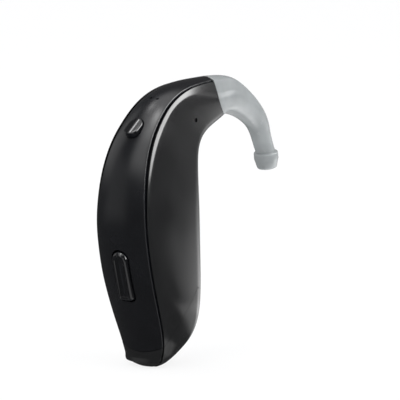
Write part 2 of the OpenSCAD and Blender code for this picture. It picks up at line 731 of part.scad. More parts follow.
// A bent pipe, or a bent rod where its bore is nothing
module pipe(r, bore) {
    n = tube_sides;
    outer = [for (t = stops(0, 1, tube_steps)) tube_ring(t, r)];
    inner = [for (t = stops(0, 1, tube_steps)) tube_ring(t, bore)];
    if (bore == 0) {
        loft(outer, n, true);
    } else {
        m = n * (tube_steps + 1);
        walls = [for (i = [0:tube_steps - 1], j = [0:n - 1]) let(
            a = i * n + j, b = i * n + (j + 1) % n) each [
                [a, b, b + n], [a, b + n, a + n],
                [m + b + n, m + b, m + a], [m + a + n, m + b + n, m + a]]];
        e = n * tube_steps;
        ends = [for (j = [0:n - 1]) let(k = (j + 1) % n) each [
            [k, j, m + j], [k, m + j, m + k],
            [e + j, e + k, m + e + k], [e + j, m + e + k, m + e + j]]];
        polyhedron([for (ring = concat(outer, inner), p = ring) p], concat(walls, ends));
    }
}
// The bore's flats clear the spout
tube_bore = (spout_r + fit_gap / 2) / cos(180 / tube_sides);
module receiver_tube() {
    color("#d7d9da") pipe(tube_outer_r, tube_bore);
}

// Microphones in rubber boots under the spine
mesh_t = 0.2;
rear_boot_length = 2.6;
rear_boot_width = 2.8;
rear_boot_height = 1.2;
front_boot_length = 2.7;
front_boot_width = 2;
front_boot_height = 0.9;
rear_boot = [rear_boot_length, rear_boot_width, rear_boot_height];
front_boot = [front_boot_length, front_boot_width, front_boot_height];
boot_wall = 0.35;
capsule_rise = 0.15;
mesh_r = 0.32;
module boot(size) {
    difference() {
        block(size[0], size[1], size[2], -size[2]);
        block(size[0] - 2 * boot_wall, size[1] - 2 * boot_wall, size[2], -size[2] - boot_wall);
    }
}
module capsule(size) {
    block(size[0] - 2 * boot_wall, size[1] - 2 * boot_wall, size[2] - boot_wall - capsule_rise,
        capsule_rise - size[2]);
}
module rear_microphone_boot() {
    color("#3a3d40") on_back(rear_port_u) translate([0, 0, -mesh_t]) difference() {
        boot(rear_boot);
        for (side = [-1, 1]) translate([0, side * port_apart / 2, -boot_wall - over])
            cylinder(r = port_r, h = 2 * over);
    }
}
module rear_microphone() { color("#c2a467") on_back(rear_port_u) translate([0, 0, -mesh_t]) capsule(rear_boot); }
module front_microphone_boot() { color("#3a3d40") on_back(front_mic_u) translate([0, 0, -mesh_t]) boot(front_boot); }
module front_microphone() { color("#c2a467") on_back(front_mic_u) translate([0, 0, -mesh_t]) capsule(front_boot); }
module port_mesh() {
    color("#7c8084") on_back(rear_port_u) for (side = [-1, 1])
        translate([0, side * port_apart / 2, -mesh_t]) cylinder(r = mesh_r, h = mesh_t - fit_gap);
}

// Push button and its switch
stem_length = 0.1;
button_switch_r = 1.2;
rocker_switch_r = 0.9;
switch_height = 0.7;
button_flange = 0.35;
button_top_z = under(station(button_u)) - ease_gap;
button_low = button_top_z - button_flange - stem_length;
button_switch_low = button_low - button_travel - 2 * fit_gap - switch_height;
button_bay = button_length + 4 * button_flange;
module push_button() {
    color("#1b1c20") on_back(button_u) difference() {
        union() {
            translate([0, 0, button_top_z - fit_gap]) linear_extrude(button_top + over)
                slot_2d(button_length, button_width);
            translate([0, 0, button_top_z - button_flange]) linear_extrude(button_flange)
                slot_2d(button_length + button_flange, button_width + button_flange);
            translate([0, 0, button_low]) cylinder(r = button_width / 4, h = stem_length + fit_gap);
        }
        // The face slopes from a raised lower end to the spine at the upper end
        translate([-button_length / 2, 0, button_top]) rotate([0, button_slope, 0])
            translate([-over, -body_width / 2, 0]) cube([body_width, body_width, body_width]);
    }
}
button_fall = 0.68;
button_slope = atan2(button_fall, button_length);
dome_height = 0.3;
dome_step = 0.4;
module switch_body(r) {
    cylinder(r = r, h = switch_height - dome_height);
    cylinder(r = r - dome_step, h = switch_height);
}
module button_switch() {
    color("#c9ccd0") on_back(button_u) translate([0, 0, button_switch_low]) switch_body(button_switch_r);
}

// Volume rocker on its pin, over two switches
rocker_pin_r = 0.25;
rocker_pin_z = -0.75;
rocker_lug_r = 0.5;
rocker_lug_half = 0.85;
rocker_low = -0.1;
rocker_board_t = 0.3;
rocker_switch_low = rocker_low - rocker_length / 2 * sin(rocker_swing) - fit_gap - switch_height;
rocker_board_low = min(rocker_switch_low, rocker_pin_z - rocker_lug_r - fit_gap) - rocker_board_t;
rocker_bay = rocker_length + 4 * ease_gap;
rocker_pin_half = chassis_half;
module rocker_ears() {
    on_back(rocker_u) for (side = [-1, 1]) difference() {
        translate([0, side * (rocker_lug_half + fit_gap + chassis_half) / 2, 0])
            block(3 * rocker_lug_r, chassis_half - rocker_lug_half - fit_gap,
                rocker_low - fit_gap - rocker_pin_r / 2 - rocker_board_low + over, rocker_board_low - over);
        translate([0, 0, rocker_pin_z]) pin_along_y(rocker_pin_r, body_width);
    }
}
rocker_rim = 0.35;
rocker_dish = 0.16;
module volume_rocker() {
    color("#1d1e22") on_back(rocker_u) difference() {
        union() {
            difference() {
                translate([0, 0, rocker_low]) linear_extrude(rocker_top - rocker_low) rocker_2d(0);
                translate([0, 0, rocker_top - rocker_dish]) linear_extrude(over) rocker_2d(-rocker_rim);
            }
            translate([0, 0, rocker_pin_z]) pin_along_y(rocker_lug_r, rocker_lug_half);
            block(2 * rocker_lug_r, 2 * rocker_lug_half, rocker_low - rocker_pin_z + fit_gap, rocker_pin_z);
        }
        translate([0, 0, rocker_pin_z]) pin_along_y(rocker_pin_r + fit_gap / 2, body_width);
    }
}
module rocker_pin() {
    color("#b8bcc0") on_back(rocker_u) translate([0, 0, rocker_pin_z]) pin_along_y(rocker_pin_r, rocker_pin_half);
}
rocker_switch_share = 0.36;
rocker_switch_x = rocker_length * rocker_switch_share;
module rocker_switches() {
    color("#c9ccd0") on_back(rocker_u) for (side = [-1, 1])
        translate([side * rocker_switch_x, 0, rocker_board_low + rocker_board_t]) {
            block(2 * rocker_switch_r, 2 * rocker_switch_r, rocker_switch_low - rocker_board_low - rocker_board_t + fit_gap);
            translate([0, 0, rocker_switch_low - rocker_board_low - rocker_board_t]) switch_body(rocker_switch_r);
        }
}
module rocker_board() {
    color("#2f6b4a") difference() {
        on_back(rocker_u) difference() {
            block(rocker_bay, 2 * chassis_half, rocker_board_t, rocker_board_low);
            for (side = [-1, 1]) translate([0, side * (rocker_lug_half + fit_gap + chassis_half) / 2, 0])
                block(3 * rocker_lug_r, chassis_half - rocker_lug_half - fit_gap, body_width, -body_width / 2);
        }
        at_cell() pin_along_y(cradle_r + 2 * ease_gap, body_width);
    }
}

// Electronics on the right of the chassis, telecoil on its left
board_length = 7.8;
board_height = 8;
board_seat = 0.5;
board_place_share = 0.355;
board_u = board_place_share * last_row;
board_share = 0.56;
module at_board() { at_mid(board_u, board_share) children(); }
module main_board() {
    color("#2f6b4a") at_board() translate([0, -board_seat - board_t / 2, 0])
        block(board_length, board_t, board_height, -board_height / 2);
}
chip_t = 0.9;
chip_x_share = 0.08;
chip_length_share = 0.45;
chip_x = board_length * chip_x_share;
chip_length = board_length * chip_length_share;
module on_board(x, z, t) {
    at_board() translate([x, -board_seat - board_t - t / 2, z]) children();
}
module signal_processor() {
    color("#16171a") on_board(chip_x, 0, chip_t) block(chip_length, chip_t, board_height / 2, -board_height / 4);
}
small_t = 0.5;
small_length = 1.2;
small_height = 0.8;
small_pitch = 1.5;
low_column_x = (small_length - board_length) / 2 + ease_gap;
high_column_x = (board_length - small_height) / 2 - ease_gap;
module board_components() {
    color("#8a6f4d") for (i = [-2:2]) on_board(low_column_x, i * small_pitch, small_t)
        block(small_length, small_t, small_height, -small_height / 2);
    color("#8a6f4d") for (i = [-2, -1, 1, 2]) on_board(high_column_x, i * small_pitch, small_t)
        block(small_height, small_t, small_height, -small_height / 2);
}
telecoil_r = 0.9;
telecoil_length = 6.5;
telecoil_core_t = 0.8;
telecoil_end = 0.8;
module at_telecoil() { at_board() translate([0, chassis_half, 0]) children(); }
module telecoil_core() {
    color("#3c3a38") at_telecoil() block(telecoil_length, telecoil_core_t, telecoil_core_t, -telecoil_core_t / 2);
}
module telecoil_winding() {
    color("#a8572c") at_telecoil() difference() {
        rotate([0, 90, 0]) cylinder(r = telecoil_r, h = telecoil_length - 2 * telecoil_end, center = true);
        block(telecoil_length, telecoil_core_t, telecoil_core_t, -telecoil_core_t / 2);
    }
}

// Contact springs beside the cell, and the leads
module contact(side) {
    drop = contact_top - cell_z + contact_width / 2;
    translate([contact_x - contact_width / 2, side > 0 ? contact_half : -contact_half - contact_t,
        contact_top - drop]) cube([contact_width, contact_t, drop]);
}
module positive_contact() { color("#c9a648") contact(1); }
module negative_contact() { color("#c9a648") contact(-1); }
lead_r = 0.15;
lead_apart = 0.96;
board_at = place(station(board_u), [0, depth(station(board_u)) * board_share]);
board_way = mid_way(board_u);
function from_board(x, y, z) = [
    board_at[0] + board_way[0] * x - board_way[1] * z, y,
    board_at[2] + board_way[1] * x + board_way[0] * z];
module contact_lead_paths(r) {
    for (side = [-1, 1])
        rod([contact_x, side * (contact_half + contact_t / 2), contact_top + lead_r],
            from_board(-board_length / 2 - 2 * lead_r, -board_seat - board_t / 2, side * lead_apart), r);
}
module receiver_lead_paths(r) {
    for (side = [-1, 1]) let(
        back = from_receiver(-receiver_length / 2 - lead_r, side * lead_apart / 2))
        rod([back[0], lead_r - receiver_width / 2, back[1]],
            from_board(board_length / 2 - lead_r, -board_seat - board_t - lead_r, side * lead_apart / 2), r);
}
module contact_leads() { color("#b03a2e") contact_lead_paths(lead_r); }
module receiver_leads() { color("#3b5fa0") receiver_lead_paths(lead_r); }

ear_hook();
acoustic_damper();
hook_nozzle();
nozzle_seal();
left_shell();
right_shell();
spine_cover();
chassis();
upper_cross_pin();
front_microphone();
front_microphone_boot();
rear_microphone();
rear_microphone_boot();
port_mesh();
receiver();
receiver_sleeve();
receiver_tube();
main_board();
signal_processor();
board_components();
telecoil_core();
telecoil_winding();
push_button();
button_switch();
volume_rocker();
rocker_pin();
rocker_switches();
rocker_board();
battery_door();
battery();
door_hinge_pin();
positive_contact();
negative_contact();
contact_leads();
receiver_leads();
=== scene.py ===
"""Behind the ear hearing aid: casing, ear hook, controls and battery door, dressed over its CAD frame."""
from __future__ import annotations

import json
import logging
import math
from dataclasses import dataclass, field
from enum import Enum
from typing import Iterable, Sequence

import bmesh
import bpy
import numpy as np
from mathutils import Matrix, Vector


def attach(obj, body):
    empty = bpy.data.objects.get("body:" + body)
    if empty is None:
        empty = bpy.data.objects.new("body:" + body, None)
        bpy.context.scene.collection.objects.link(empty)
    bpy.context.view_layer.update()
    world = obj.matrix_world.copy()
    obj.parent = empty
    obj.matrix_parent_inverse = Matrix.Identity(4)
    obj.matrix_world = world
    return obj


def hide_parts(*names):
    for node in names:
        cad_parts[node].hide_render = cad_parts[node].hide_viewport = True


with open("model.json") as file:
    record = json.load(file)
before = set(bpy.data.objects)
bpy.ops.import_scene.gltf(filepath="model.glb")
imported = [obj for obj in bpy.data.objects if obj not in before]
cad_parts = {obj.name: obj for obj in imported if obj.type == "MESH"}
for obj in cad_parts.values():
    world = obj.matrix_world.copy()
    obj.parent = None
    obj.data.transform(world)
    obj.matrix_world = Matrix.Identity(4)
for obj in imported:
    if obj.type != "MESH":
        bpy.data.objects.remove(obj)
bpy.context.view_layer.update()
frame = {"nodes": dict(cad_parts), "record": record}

log = logging.getLogger("hearing_aid")
MM = 0.001
Ring = np.ndarray


class Side(Enum):
    """The wearer's side that a shell stands on."""

    LEFT = 1
    RIGHT = -1


class Cut(Enum):
    """What a tool solid does to the solid that it meets."""

    TAKE = "DIFFERENCE"
    KEEP = "INTERSECT"
    JOIN = "UNION"


# Meshes


def new_object(name: str, verts: Sequence, faces: Sequence) -> bpy.types.Object:
    """Makes an object from points in millimetres, with its faces turned outwards.

    Args:
        name: The object's name.
        verts: Points in millimetres, in the row frame.
        faces: Lists of point numbers.

    Returns:
        The object, linked to the scene at the origin.
    """
    mesh = bpy.data.meshes.new(name)
    mesh.from_pydata([tuple(np.asarray(v) * MM) for v in verts], [], [list(f) for f in faces])
    bm = bmesh.new()
    bm.from_mesh(mesh)
    bmesh.ops.remove_doubles(bm, verts=bm.verts, dist=1e-7)
    bmesh.ops.recalc_face_normals(bm, faces=bm.faces)
    bm.to_mesh(mesh)
    bm.free()
    obj = bpy.data.objects.new(name, mesh)
    bpy.context.scene.collection.objects.link(obj)
    return obj


def loft(name: str, rings: Sequence[Ring]) -> bpy.types.Object:
    """Joins rings of points into a closed solid with flat ends.

    Args:
        name: The object's name.
        rings: Rings of the same number of points each, in millimetres.

    Returns:
        The closed solid.
    """
    count = len(rings[0])
    faces = [
        (i * count + j, i * count + (j + 1) % count, (i + 1) * count + (j + 1) % count, (i + 1) * count + j)
        for i in range(len(rings) - 1) for j in range(count)
    ]
    faces.append(tuple(range(count)))
    faces.append(tuple(range((len(rings) - 1) * count, len(rings) * count)))
    return new_object(name, np.concatenate(rings), faces)


def rod(name: str, radius: float, from_y: float, to_y: float, at: Sequence[float],
        sides: int = 64) -> bpy.types.Object:
    """A cylinder along Y, for pins, knuckles and the cell's pocket.

    Args:
        name: The object's name.
        radius: Radius in millimetres.
        from_y: Lower end in millimetres.
        to_y: Upper end in millimetres.
        at: X and Z of the axis, in millimetres.
        sides: Flats round the cylinder.

    Returns:
        The cylinder.
    """
    turn = np.linspace(0, 2 * np.pi, sides, endpoint=False)
    rings = [
        np.stack([at[0] + radius * np.cos(turn), np.full(sides, y), at[1] + radius * np.sin(turn)], 1)
        for y in (from_y, to_y)
    ]
    return loft(name, rings)


def bake(obj: bpy.types.Object) -> bpy.types.Object:
    """Turns the object's modifiers into plain mesh, and removes them."""
    graph = bpy.context.evaluated_depsgraph_get()
    mesh = bpy.data.meshes.new_from_object(obj.evaluated_get(graph))
    obj.modifiers.clear()
    old, obj.data = obj.data, mesh
    bpy.data.meshes.remove(old)
    return obj


def combine(obj: bpy.types.Object, tool: bpy.types.Object, cut: Cut) -> bpy.types.Object:
    """Cuts, joins or trims one solid with another, and removes the other.

    Args:
        obj: The solid that stays.
        tool: The solid that works on it.
        cut: What the tool does.

    Returns:
        The solid that stays.
    """
    step = obj.modifiers.new("cut", "BOOLEAN")
    step.operation = cut.value
    step.solver = "EXACT"
    step.object = tool
    bake(obj)
    drop(tool)
    return obj


def drop(obj: bpy.types.Object) -> None:
    """Removes an object and its mesh."""
    mesh = obj.data
    bpy.data.objects.remove(obj)
    bpy.data.meshes.remove(mesh)


def merge(obj: bpy.types.Object, *others: bpy.types.Object) -> bpy.types.Object:
    """Adds the meshes of other objects to one object, and removes those objects."""
    bm = bmesh.new()
    bm.from_mesh(obj.data)
    for other in others:
        bm.from_mesh(other.data)
        drop(other)
    bm.to_mesh(obj.data)
    bm.free()
    return obj


def smooth(obj: bpy.types.Object, angle: float = 32) -> bpy.types.Object:
    """Shades a piece smooth, with its edges sharp past an angle in degrees."""
    for face in obj.data.polygons:
        face.use_smooth = True
    obj.data.set_sharp_from_angle(angle=math.radians(angle))
    return obj


def soften(points: np.ndarray, index: int, reach: float, steps: int = 4) -> np.ndarray:
    """Rounds one corner of an open line.

    Args:
        points: The line's points, two numbers each.
        index: The corner's place in the line.
        reach: How far the rounding goes along both legs.
        steps: Segments in the rounding.

    Returns:
        The line, with steps points more.
    """
    mid = points[index]
    before, after = points[index - 1] - mid, points[index + 1] - mid
    a = mid + before * min(0.9, reach / max(1e-9, np.linalg.norm(before)))
    b = mid + after * min(0.9, reach / max(1e-9, np.linalg.norm(after)))
    t = np.linspace(0, 1, steps + 1)[:, None]
    arc = a * (1 - t) ** 2 + 2 * mid * t * (1 - t) + b * t ** 2
    return np.concatenate([points[:index], arc, points[index + 1:]])


# Nodes


def new_group(name: str, kind: str, takes: dict[str, str], gives: dict[str, str]) -> bpy.types.NodeTree:
    """Makes a node group with named sockets.

    Args:
        name: The group's name.
        kind: The tree's type.
        takes: The kinds of its inputs, by name.
        gives: The kinds of its outputs, by name.

    Returns:
        The group, with its sockets and no nodes.
    """
    tree = bpy.data.node_groups.new(name, kind)
    for way, sockets in (("INPUT", takes), ("OUTPUT", gives)):
        for label, socket in sockets.items():
            tree.interface.new_socket(name=label, in_out=way, socket_type=f"NodeSocket{socket}")
    return tree


def add_node(tree: bpy.types.NodeTree, kind: str, inputs: dict | None = None, **settings) -> bpy.types.Node:
    """Adds a node to a tree.

    Args:
        tree: The tree.
        kind: The node's type.
        inputs: What goes in, by the input's name or number: a plain value or another node's output.
        settings: The node's own settings.

    Returns:
        The node.
    """
    node = tree.nodes.new(kind)
    for name, value in settings.items():
        setattr(node, name, value)
    for name, value in (inputs or {}).items():
        if isinstance(value, bpy.types.NodeSocket):
            tree.links.new(value, node.inputs[name])
        else:
            node.inputs[name].default_value = value
    return node


def math_node(tree: bpy.types.NodeTree, operation: str,
              *values: bpy.types.NodeSocket | float) -> bpy.types.NodeSocket:
    """A shader math node's output, from sockets or numbers."""
    return add_node(tree, "ShaderNodeMath", dict(enumerate(values)), operation=operation).outputs[0]


# Lines of the casing and the hook


@dataclass(frozen=True)
class Lines:
    """The casing's and the hook's lines, as in the part's source. Lengths are in millimetres."""

    body_height: float = 37.6
    body_depth: float = 13.8
    body_width: float = 9.3
    spine_crown: float = 1.15
    spine_edge: float = 0.25
    front_bow: float = 0.25
    hook_reach: float = 18.45
    hook_root_r: float = 2.55
    hook_root_half: float = 2.22
    hook_tube_r: float = 1.32
    nipple_lean: float = 8
    nipple_r: float = 1.65
    step_u: float = 0.046
    spine_max_share: float = 0.468
    hook_bevel_share: float = 0.7
    bevel_out_share: float = 0.55
    side_peak_share: float = 0.45
    side_flat_share: float = 0.4
    side_taper_share: float = 0.03
    corner_share: float = 0.48
    corner_depth_share: float = 0.45
    casing_shares: tuple = (
        (0.55, 0, 0.5, 0, 0.14, 0.155, 0.02),
        (0.578, 0.015, 0.395, 0.019, 0.28, 0.297, 0.068),
        (0.592, 0.048, 0.239, 0.058, 0.352, 0.375, 0.102),
        (0.608, 0.09, 0.1, 0.098, 0.392, 0.42, 0.148),
        (0.66, 0.149, 0.02, 0.152, 0.426, 0.455, 0.17),
        (0.734, 0.223, -0.001, 0.231, 0.449, 0.5, 0.148),
        (0.837, 0.335, -0.004, 0.343, 0.468, 0.5, 0.114),
        (0.903, 0.447, 0.004, 0.452, 0.468, 0.5, 0.085),
        (0.935, 0.556, 0.011, 0.556, 0.46, 0.5, 0.068),
        (0.891, 0.697, 0.007, 0.652, 0.428, 0.466, 0.057),
        (0.783, 0.801, -0.008, 0.718, 0.386, 0.426, 0.057),
        (0.652, 0.867, -0.032, 0.758, 0.35, 0.392, 0.057),
        (0.464, 0.931, -0.081, 0.787, 0.315, 0.349, 0.063),
        (0.225, 0.971, -0.151, 0.809, 0.285, 0.318, 0.091),
        (-0.032, 0.987, -0.243, 0.826, 0.25, 0.29, 0.136),
        (-0.265, 0.987, -0.357, 0.843, 0.2, 0.26, 0.193),
    )
    hook_shares: tuple = (
        (-0.457, 0.917, 0.953, 0.7, 0.15),
        (-0.584, 0.901, 0.727, 0.7, 0.4),
        (-0.729, 0.864, 0.477, 0.7, 0.7),
        (-0.842, 0.822, 0.305, 0.7, 0.9),
        (-0.902, 0.786, 0.188, 0.7, 1),
        (-0.935, 0.75, 0.055, 0.7, 1),
        (-0.962, 0.716, 0.008, 0.7, 1),
        (-1, 0.676, 0, 0.7, 1),
    )

    @property
    def front_x(self) -> float:
        """Plane of the front face."""
        return (self.body_depth - self.hook_reach - self.nipple_r) / 2

    @property
    def nose_row(self) -> int:
        """The casing's last row."""
        return len(self.casing_shares) - 1

    @property
    def last_row(self) -> int:
        """The hook's last row."""
        return len(self.casing_shares) + len(self.hook_shares) - 1

    def share_x(self, share: float) -> float:
        """X of a share of the depth, or of the reach where it is before the front face."""
        return self.front_x - (self.hook_reach if share < 0 else self.body_depth) * share

    def hook_mid(self, i: int) -> np.ndarray:
        """Middle of a row of the hook, X and Z."""
        return np.array([self.share_x(self.hook_shares[i][0]), self.body_height * self.hook_shares[i][1]])

    def hook_way(self, i: int) -> np.ndarray:
        """Direction of travel at a row of the hook."""
        if i == len(self.hook_shares) - 1:
            lean = math.radians(self.nipple_lean)
            return np.array([math.sin(lean), -math.cos(lean)])
        return unit(self.hook_mid(i + 1) - self.hook_mid(max(0, i - 1)))

    def rows(self) -> np.ndarray:
        """All rows: seam X and Z, front X and Z, half widths, bevel and roundness."""
        w = self.body_width
        table = [
            [self.share_x(r[0]), self.body_height * r[1], self.share_x(r[2]), self.body_height * r[3],
             w * r[4], w * r[5], w * r[6], 0]
            for r in self.casing_shares
        ]
        for i, s in enumerate(self.hook_shares):
            way = self.hook_way(i)
            up = np.array([-way[1], way[0]])
            r = self.hook_tube_r + (self.hook_root_r - self.hook_tube_r) * s[2]
            half = self.hook_tube_r + (self.hook_root_half - self.hook_tube_r) * s[2]
            top, low = self.hook_mid(i) + r * up, self.hook_mid(i) - r * up
            table.append([*top, *low, half * s[3], half, half * self.hook_bevel_share, s[4]])
        return np.array(table, float)

    def station(self, u: float) -> np.ndarray:
        """The section at a place along the part: 0 at the foot, and the last row at the nipple."""
        tab = self.rows()
        last = self.last_row

        def row(values: np.ndarray, i: int) -> np.ndarray:
            """A row, or its mirror image past an end."""
            if i < 0:
                return 2 * values[0] - values[-i]
            return 2 * values[last] - values[2 * last - i] if i > last else values[i]

        eased = np.array([
            tab[i] - (row(tab, i - 1) - 2 * tab[i] + row(tab, i + 1)) / 6 for i in range(last + 1)
        ])
        i = min(int(math.floor(u)), last - 1)
        f = u - i
        return (row(eased, i - 1) * (1 - f) ** 3 + row(eased, i) * (3 * f ** 3 - 6 * f ** 2 + 4)
                + row(eased, i + 1) * (3 * f + 3 * f ** 2 - 3 * f ** 3 + 1) + row(eased, i + 2) * f ** 3) / 6

    def crown(self, r: np.ndarray) -> float:
        """Height of the spine's crown over its seam."""
        return self.spine_crown * r[4] / (self.body_width * self.spine_max_share)

    def edge(self, r: np.ndarray) -> float:
        """Height of the spine's edge over its seam."""
        return self.spine_edge * r[4] / (self.body_width * self.spine_max_share)

    def back_way(self, u: float) -> np.ndarray:
        """Direction of travel along the seam."""
        return unit(self.station(u + self.step_u)[:2] - self.station(u - self.step_u)[:2])

    def on_back(self, u: float, points: Iterable) -> np.ndarray:
        """Points in a frame on the spine, X up the spine and Z out of it, put in space.

        Args:
            u: Place along the spine.
            points: Local points in millimetres.

        Returns:
            The points in the row frame.
        """
        way = self.back_way(u)
        base = self.station(u)[:2]
        p = np.asarray(list(points), float)
        out = np.array([-way[1], way[0]])
        return np.stack([base[0] + p[:, 0] * way[0] + p[:, 2] * out[0], p[:, 1],
                         base[1] + p[:, 0] * way[1] + p[:, 2] * out[1]], 1)

    def block_on_back(self, name: str, u: float, outline: Iterable, low: float,
                      high: float) -> bpy.types.Object:
        """A straight-sided solid that stands on the spine, from one height over the seam to another."""
        points = list(outline)
        return loft(name, [self.on_back(u, [(x, y, z) for x, y in points]) for z in (low, high)])

    def rod_on_back(self, name: str, u: float, radius: float, z: float, half: float) -> bpy.types.Object:
        """A cylinder that lies across the spine, at a height over the seam."""
        turn = np.linspace(0, 2 * np.pi, 32, endpoint=False)
        circle = [(radius * math.cos(t), z + radius * math.sin(t)) for t in turn]
        return loft(name, [self.on_back(u, [(x, y, rise) for x, rise in circle]) for y in (-half, half)])


def unit(v: np.ndarray) -> np.ndarray:
    """A direction of length one."""
    return v / np.linalg.norm(v)


def clamp(value: float) -> float:
    """A value kept between 0 and 1."""
    return min(1.0, max(0.0, value))


def place(r: np.ndarray, points: np.ndarray) -> Ring:
    """Puts a section's points, each across and deep, in space."""
    way = unit(r[2:4] - r[0:2])
    return np.stack([r[0] + way[0] * points[:, 1], points[:, 0], r[1] + way[1] * points[:, 1]], 1)


def mirrored(half: np.ndarray) -> np.ndarray:
    """A closed section from its half, which starts and ends in the middle plane."""
    return np.concatenate([half, half[1:-1][::-1] * [-1, 1]])


@dataclass(frozen=True)
class Sections:
    """Half sections of the casing at full detail, each from the spine to the front."""

    lines: Lines
    shell_wall: float = 0.7
    spine_wall: float = 0.6
    spine_seat: float = 0.7
    groove_fine: float = 0.2
    groove_wide: float = 0.48
    groove_deep: float = 0.45
    groove_draft: float = 0.02
    groove_from_share: float = 0.5
    groove_fade_share: float = 0.3
    edge_round: float = 0.09
    rim_round: float = 0.05
    crease_round: float = 0.2
    crease_max_share: float = 0.45
    bevel_trim: float = 0.74
    bevel_from_share: float = 0.065
    bevel_fade_share: float = 0.06

    def depth(self, r: np.ndarray) -> float:
        """Depth of a section from the seam to the front face."""
        return float(np.linalg.norm(r[2:4] - r[0:2]))

    def groove(self, r: np.ndarray) -> float:
        """Width of the groove beside the spine, which opens towards the top."""
        rise = clamp((r[1] / self.lines.body_height - self.groove_from_share) / self.groove_fade_share)
        return self.groove_fine + (self.groove_wide - self.groove_fine) * rise * rise * (3 - 2 * rise)

    def spine_top(self, r: np.ndarray, half: float, count: int = 12) -> np.ndarray:
        """The spine's crown from its middle to its edge."""
        s = np.linspace(0, 1, count)
        crown, edge = self.lines.crown(r), self.lines.edge(r)
        return np.stack([half * s, -edge - (crown - edge) * (1 - s * s)], 1)

    def side(self, r: np.ndarray, count: int = 22) -> np.ndarray:
        """The bevel's end, the side panel, the front corner and the front face."""
        ln = self.lines
        r = r.copy()
        wide = clamp((r[6] / ln.body_width - self.bevel_from_share) / self.bevel_fade_share)
        r[6] *= self.bevel_trim + (1 - self.bevel_trim) * wide
        corner = min(r[5] * ln.corner_share, self.depth(r) * ln.corner_depth_share)
        flat_y = r[5] * (1 - ln.side_taper_share) - corner
        corner_a = self.depth(r) - ln.front_bow - corner
        q = np.linspace(0, 1, count)
        low = r[5] - (r[5] - r[4]) * (1 - ln.bevel_out_share) * (1 - q / ln.side_peak_share) ** 2
        past = np.maximum(0, q - ln.side_flat_share) / (1 - ln.side_flat_share)
        high = r[5] * (1 - ln.side_taper_share * past ** 2)
        panel = np.stack([np.where(q < ln.side_peak_share, low, high), r[6] + (corner_a - r[6]) * q], 1)
        turn = np.linspace(0, np.pi / 2, 11)[1:]
        arc = np.stack([flat_y + corner * np.cos(turn), corner_a + corner * np.sin(turn)], 1)
        y = np.linspace(flat_y, 0, 7)[1:]
        bow = self.depth(r) - ln.front_bow * (y / max(1e-6, flat_y)) ** 2
        return np.concatenate([panel, arc, np.stack([y, bow], 1)])

    def shell_outline(self, r: np.ndarray) -> np.ndarray:
        """The shell's outside, from the floor of the groove round to the front."""
        wall = np.array([[r[4] - self.groove_draft, self.groove_deep], [r[4], 0.0]])
        line = np.concatenate([wall, self.side(r)])
        line = soften(line, 2, min(self.crease_round, r[6] * self.crease_max_share))
        return soften(line, 1, self.rim_round, 3)

    def shell(self, r: np.ndarray, side: Side) -> Ring:
        """A closed ring round one shell's wall."""
        outer = self.shell_outline(r)
        way = np.gradient(outer, axis=0)
        way /= np.linalg.norm(way, axis=1)[:, None]
        inner = outer + self.shell_wall * np.stack([-way[:, 1], way[:, 0]], 1)
        keep = [0] + list(range(8, len(outer) - 1, 2)) + [len(outer) - 1]
        inner = inner[keep]
        inner[0] = outer[0] - [self.shell_wall, 0]
        inner[-1] = outer[-1] - [0, self.shell_wall]
        inner[:, 0] = np.maximum(inner[:, 0], 0)
        points = np.concatenate([outer, inner[::-1]])
        return place(r, points * [side.value, 1])

    def crown_line(self, r: np.ndarray) -> np.ndarray:
        """The spine's crown with its rounded edge, down to the floor of the groove."""
        half = r[4] - self.groove(r)
        top = np.concatenate([self.spine_top(r, half), [[half, self.groove_deep]]])
        return soften(top, len(top) - 2, self.edge_round)

    def spine(self, r: np.ndarray) -> Ring:
        """A closed ring round the spine cover's wall."""
        under = max(0.0, self.lines.crown(r) - self.spine_wall)
        s = np.linspace(1, 0, 8)
        low = np.stack([(r[4] - self.spine_seat) * s, -under * (1 - s * s)], 1)
        low[0] = [r[4] - self.spine_seat, self.groove_deep]
        return place(r, mirrored(np.concatenate([self.crown_line(r), low])))

    def door(self, r: np.ndarray) -> Ring:
        """A closed ring round the whole casing, with its seam groove, for the door."""
        return place(r, mirrored(np.concatenate([self.crown_line(r), self.shell_outline(r)])))

    def hook(self, r: np.ndarray) -> Ring:
        """A closed ring of the hook, which turns from the casing's section to a circle."""
        top = self.spine_top(r, r[4], 13)
        plain = np.concatenate([top, self.side(r, 24)])
        gaps = np.concatenate([[0], np.cumsum(np.linalg.norm(np.diff(plain, axis=0), axis=1))])
        t = np.linspace(0, gaps[-1], 49)
        plain = np.stack([np.interp(t, gaps, plain[:, 0]), np.interp(t, gaps, plain[:, 1])], 1)
        turn = np.linspace(0, np.pi, 49)
        mid = self.depth(r) / 2
        round_ = np.stack([r[5] * np.sin(turn), mid - mid * np.cos(turn)], 1)
        half = plain * (1 - r[7]) + round_ * r[7]
        return place(r, mirrored(half))


# Finishes

PATCH_SCALE = 260
SCUFF_AND_SHEEN_SCALE = 1800
GRAIN_STEP = 0.00002
# Pointiness range of the edges lightened in the colour: part wear, part painted highlight.
EDGE_WEAR_AND_HIGHLIGHT = (0.52, 0.62)
PATCH_RANGE = (0.3, 0.7)
PATCH_TINT = (0.88, 1.12)


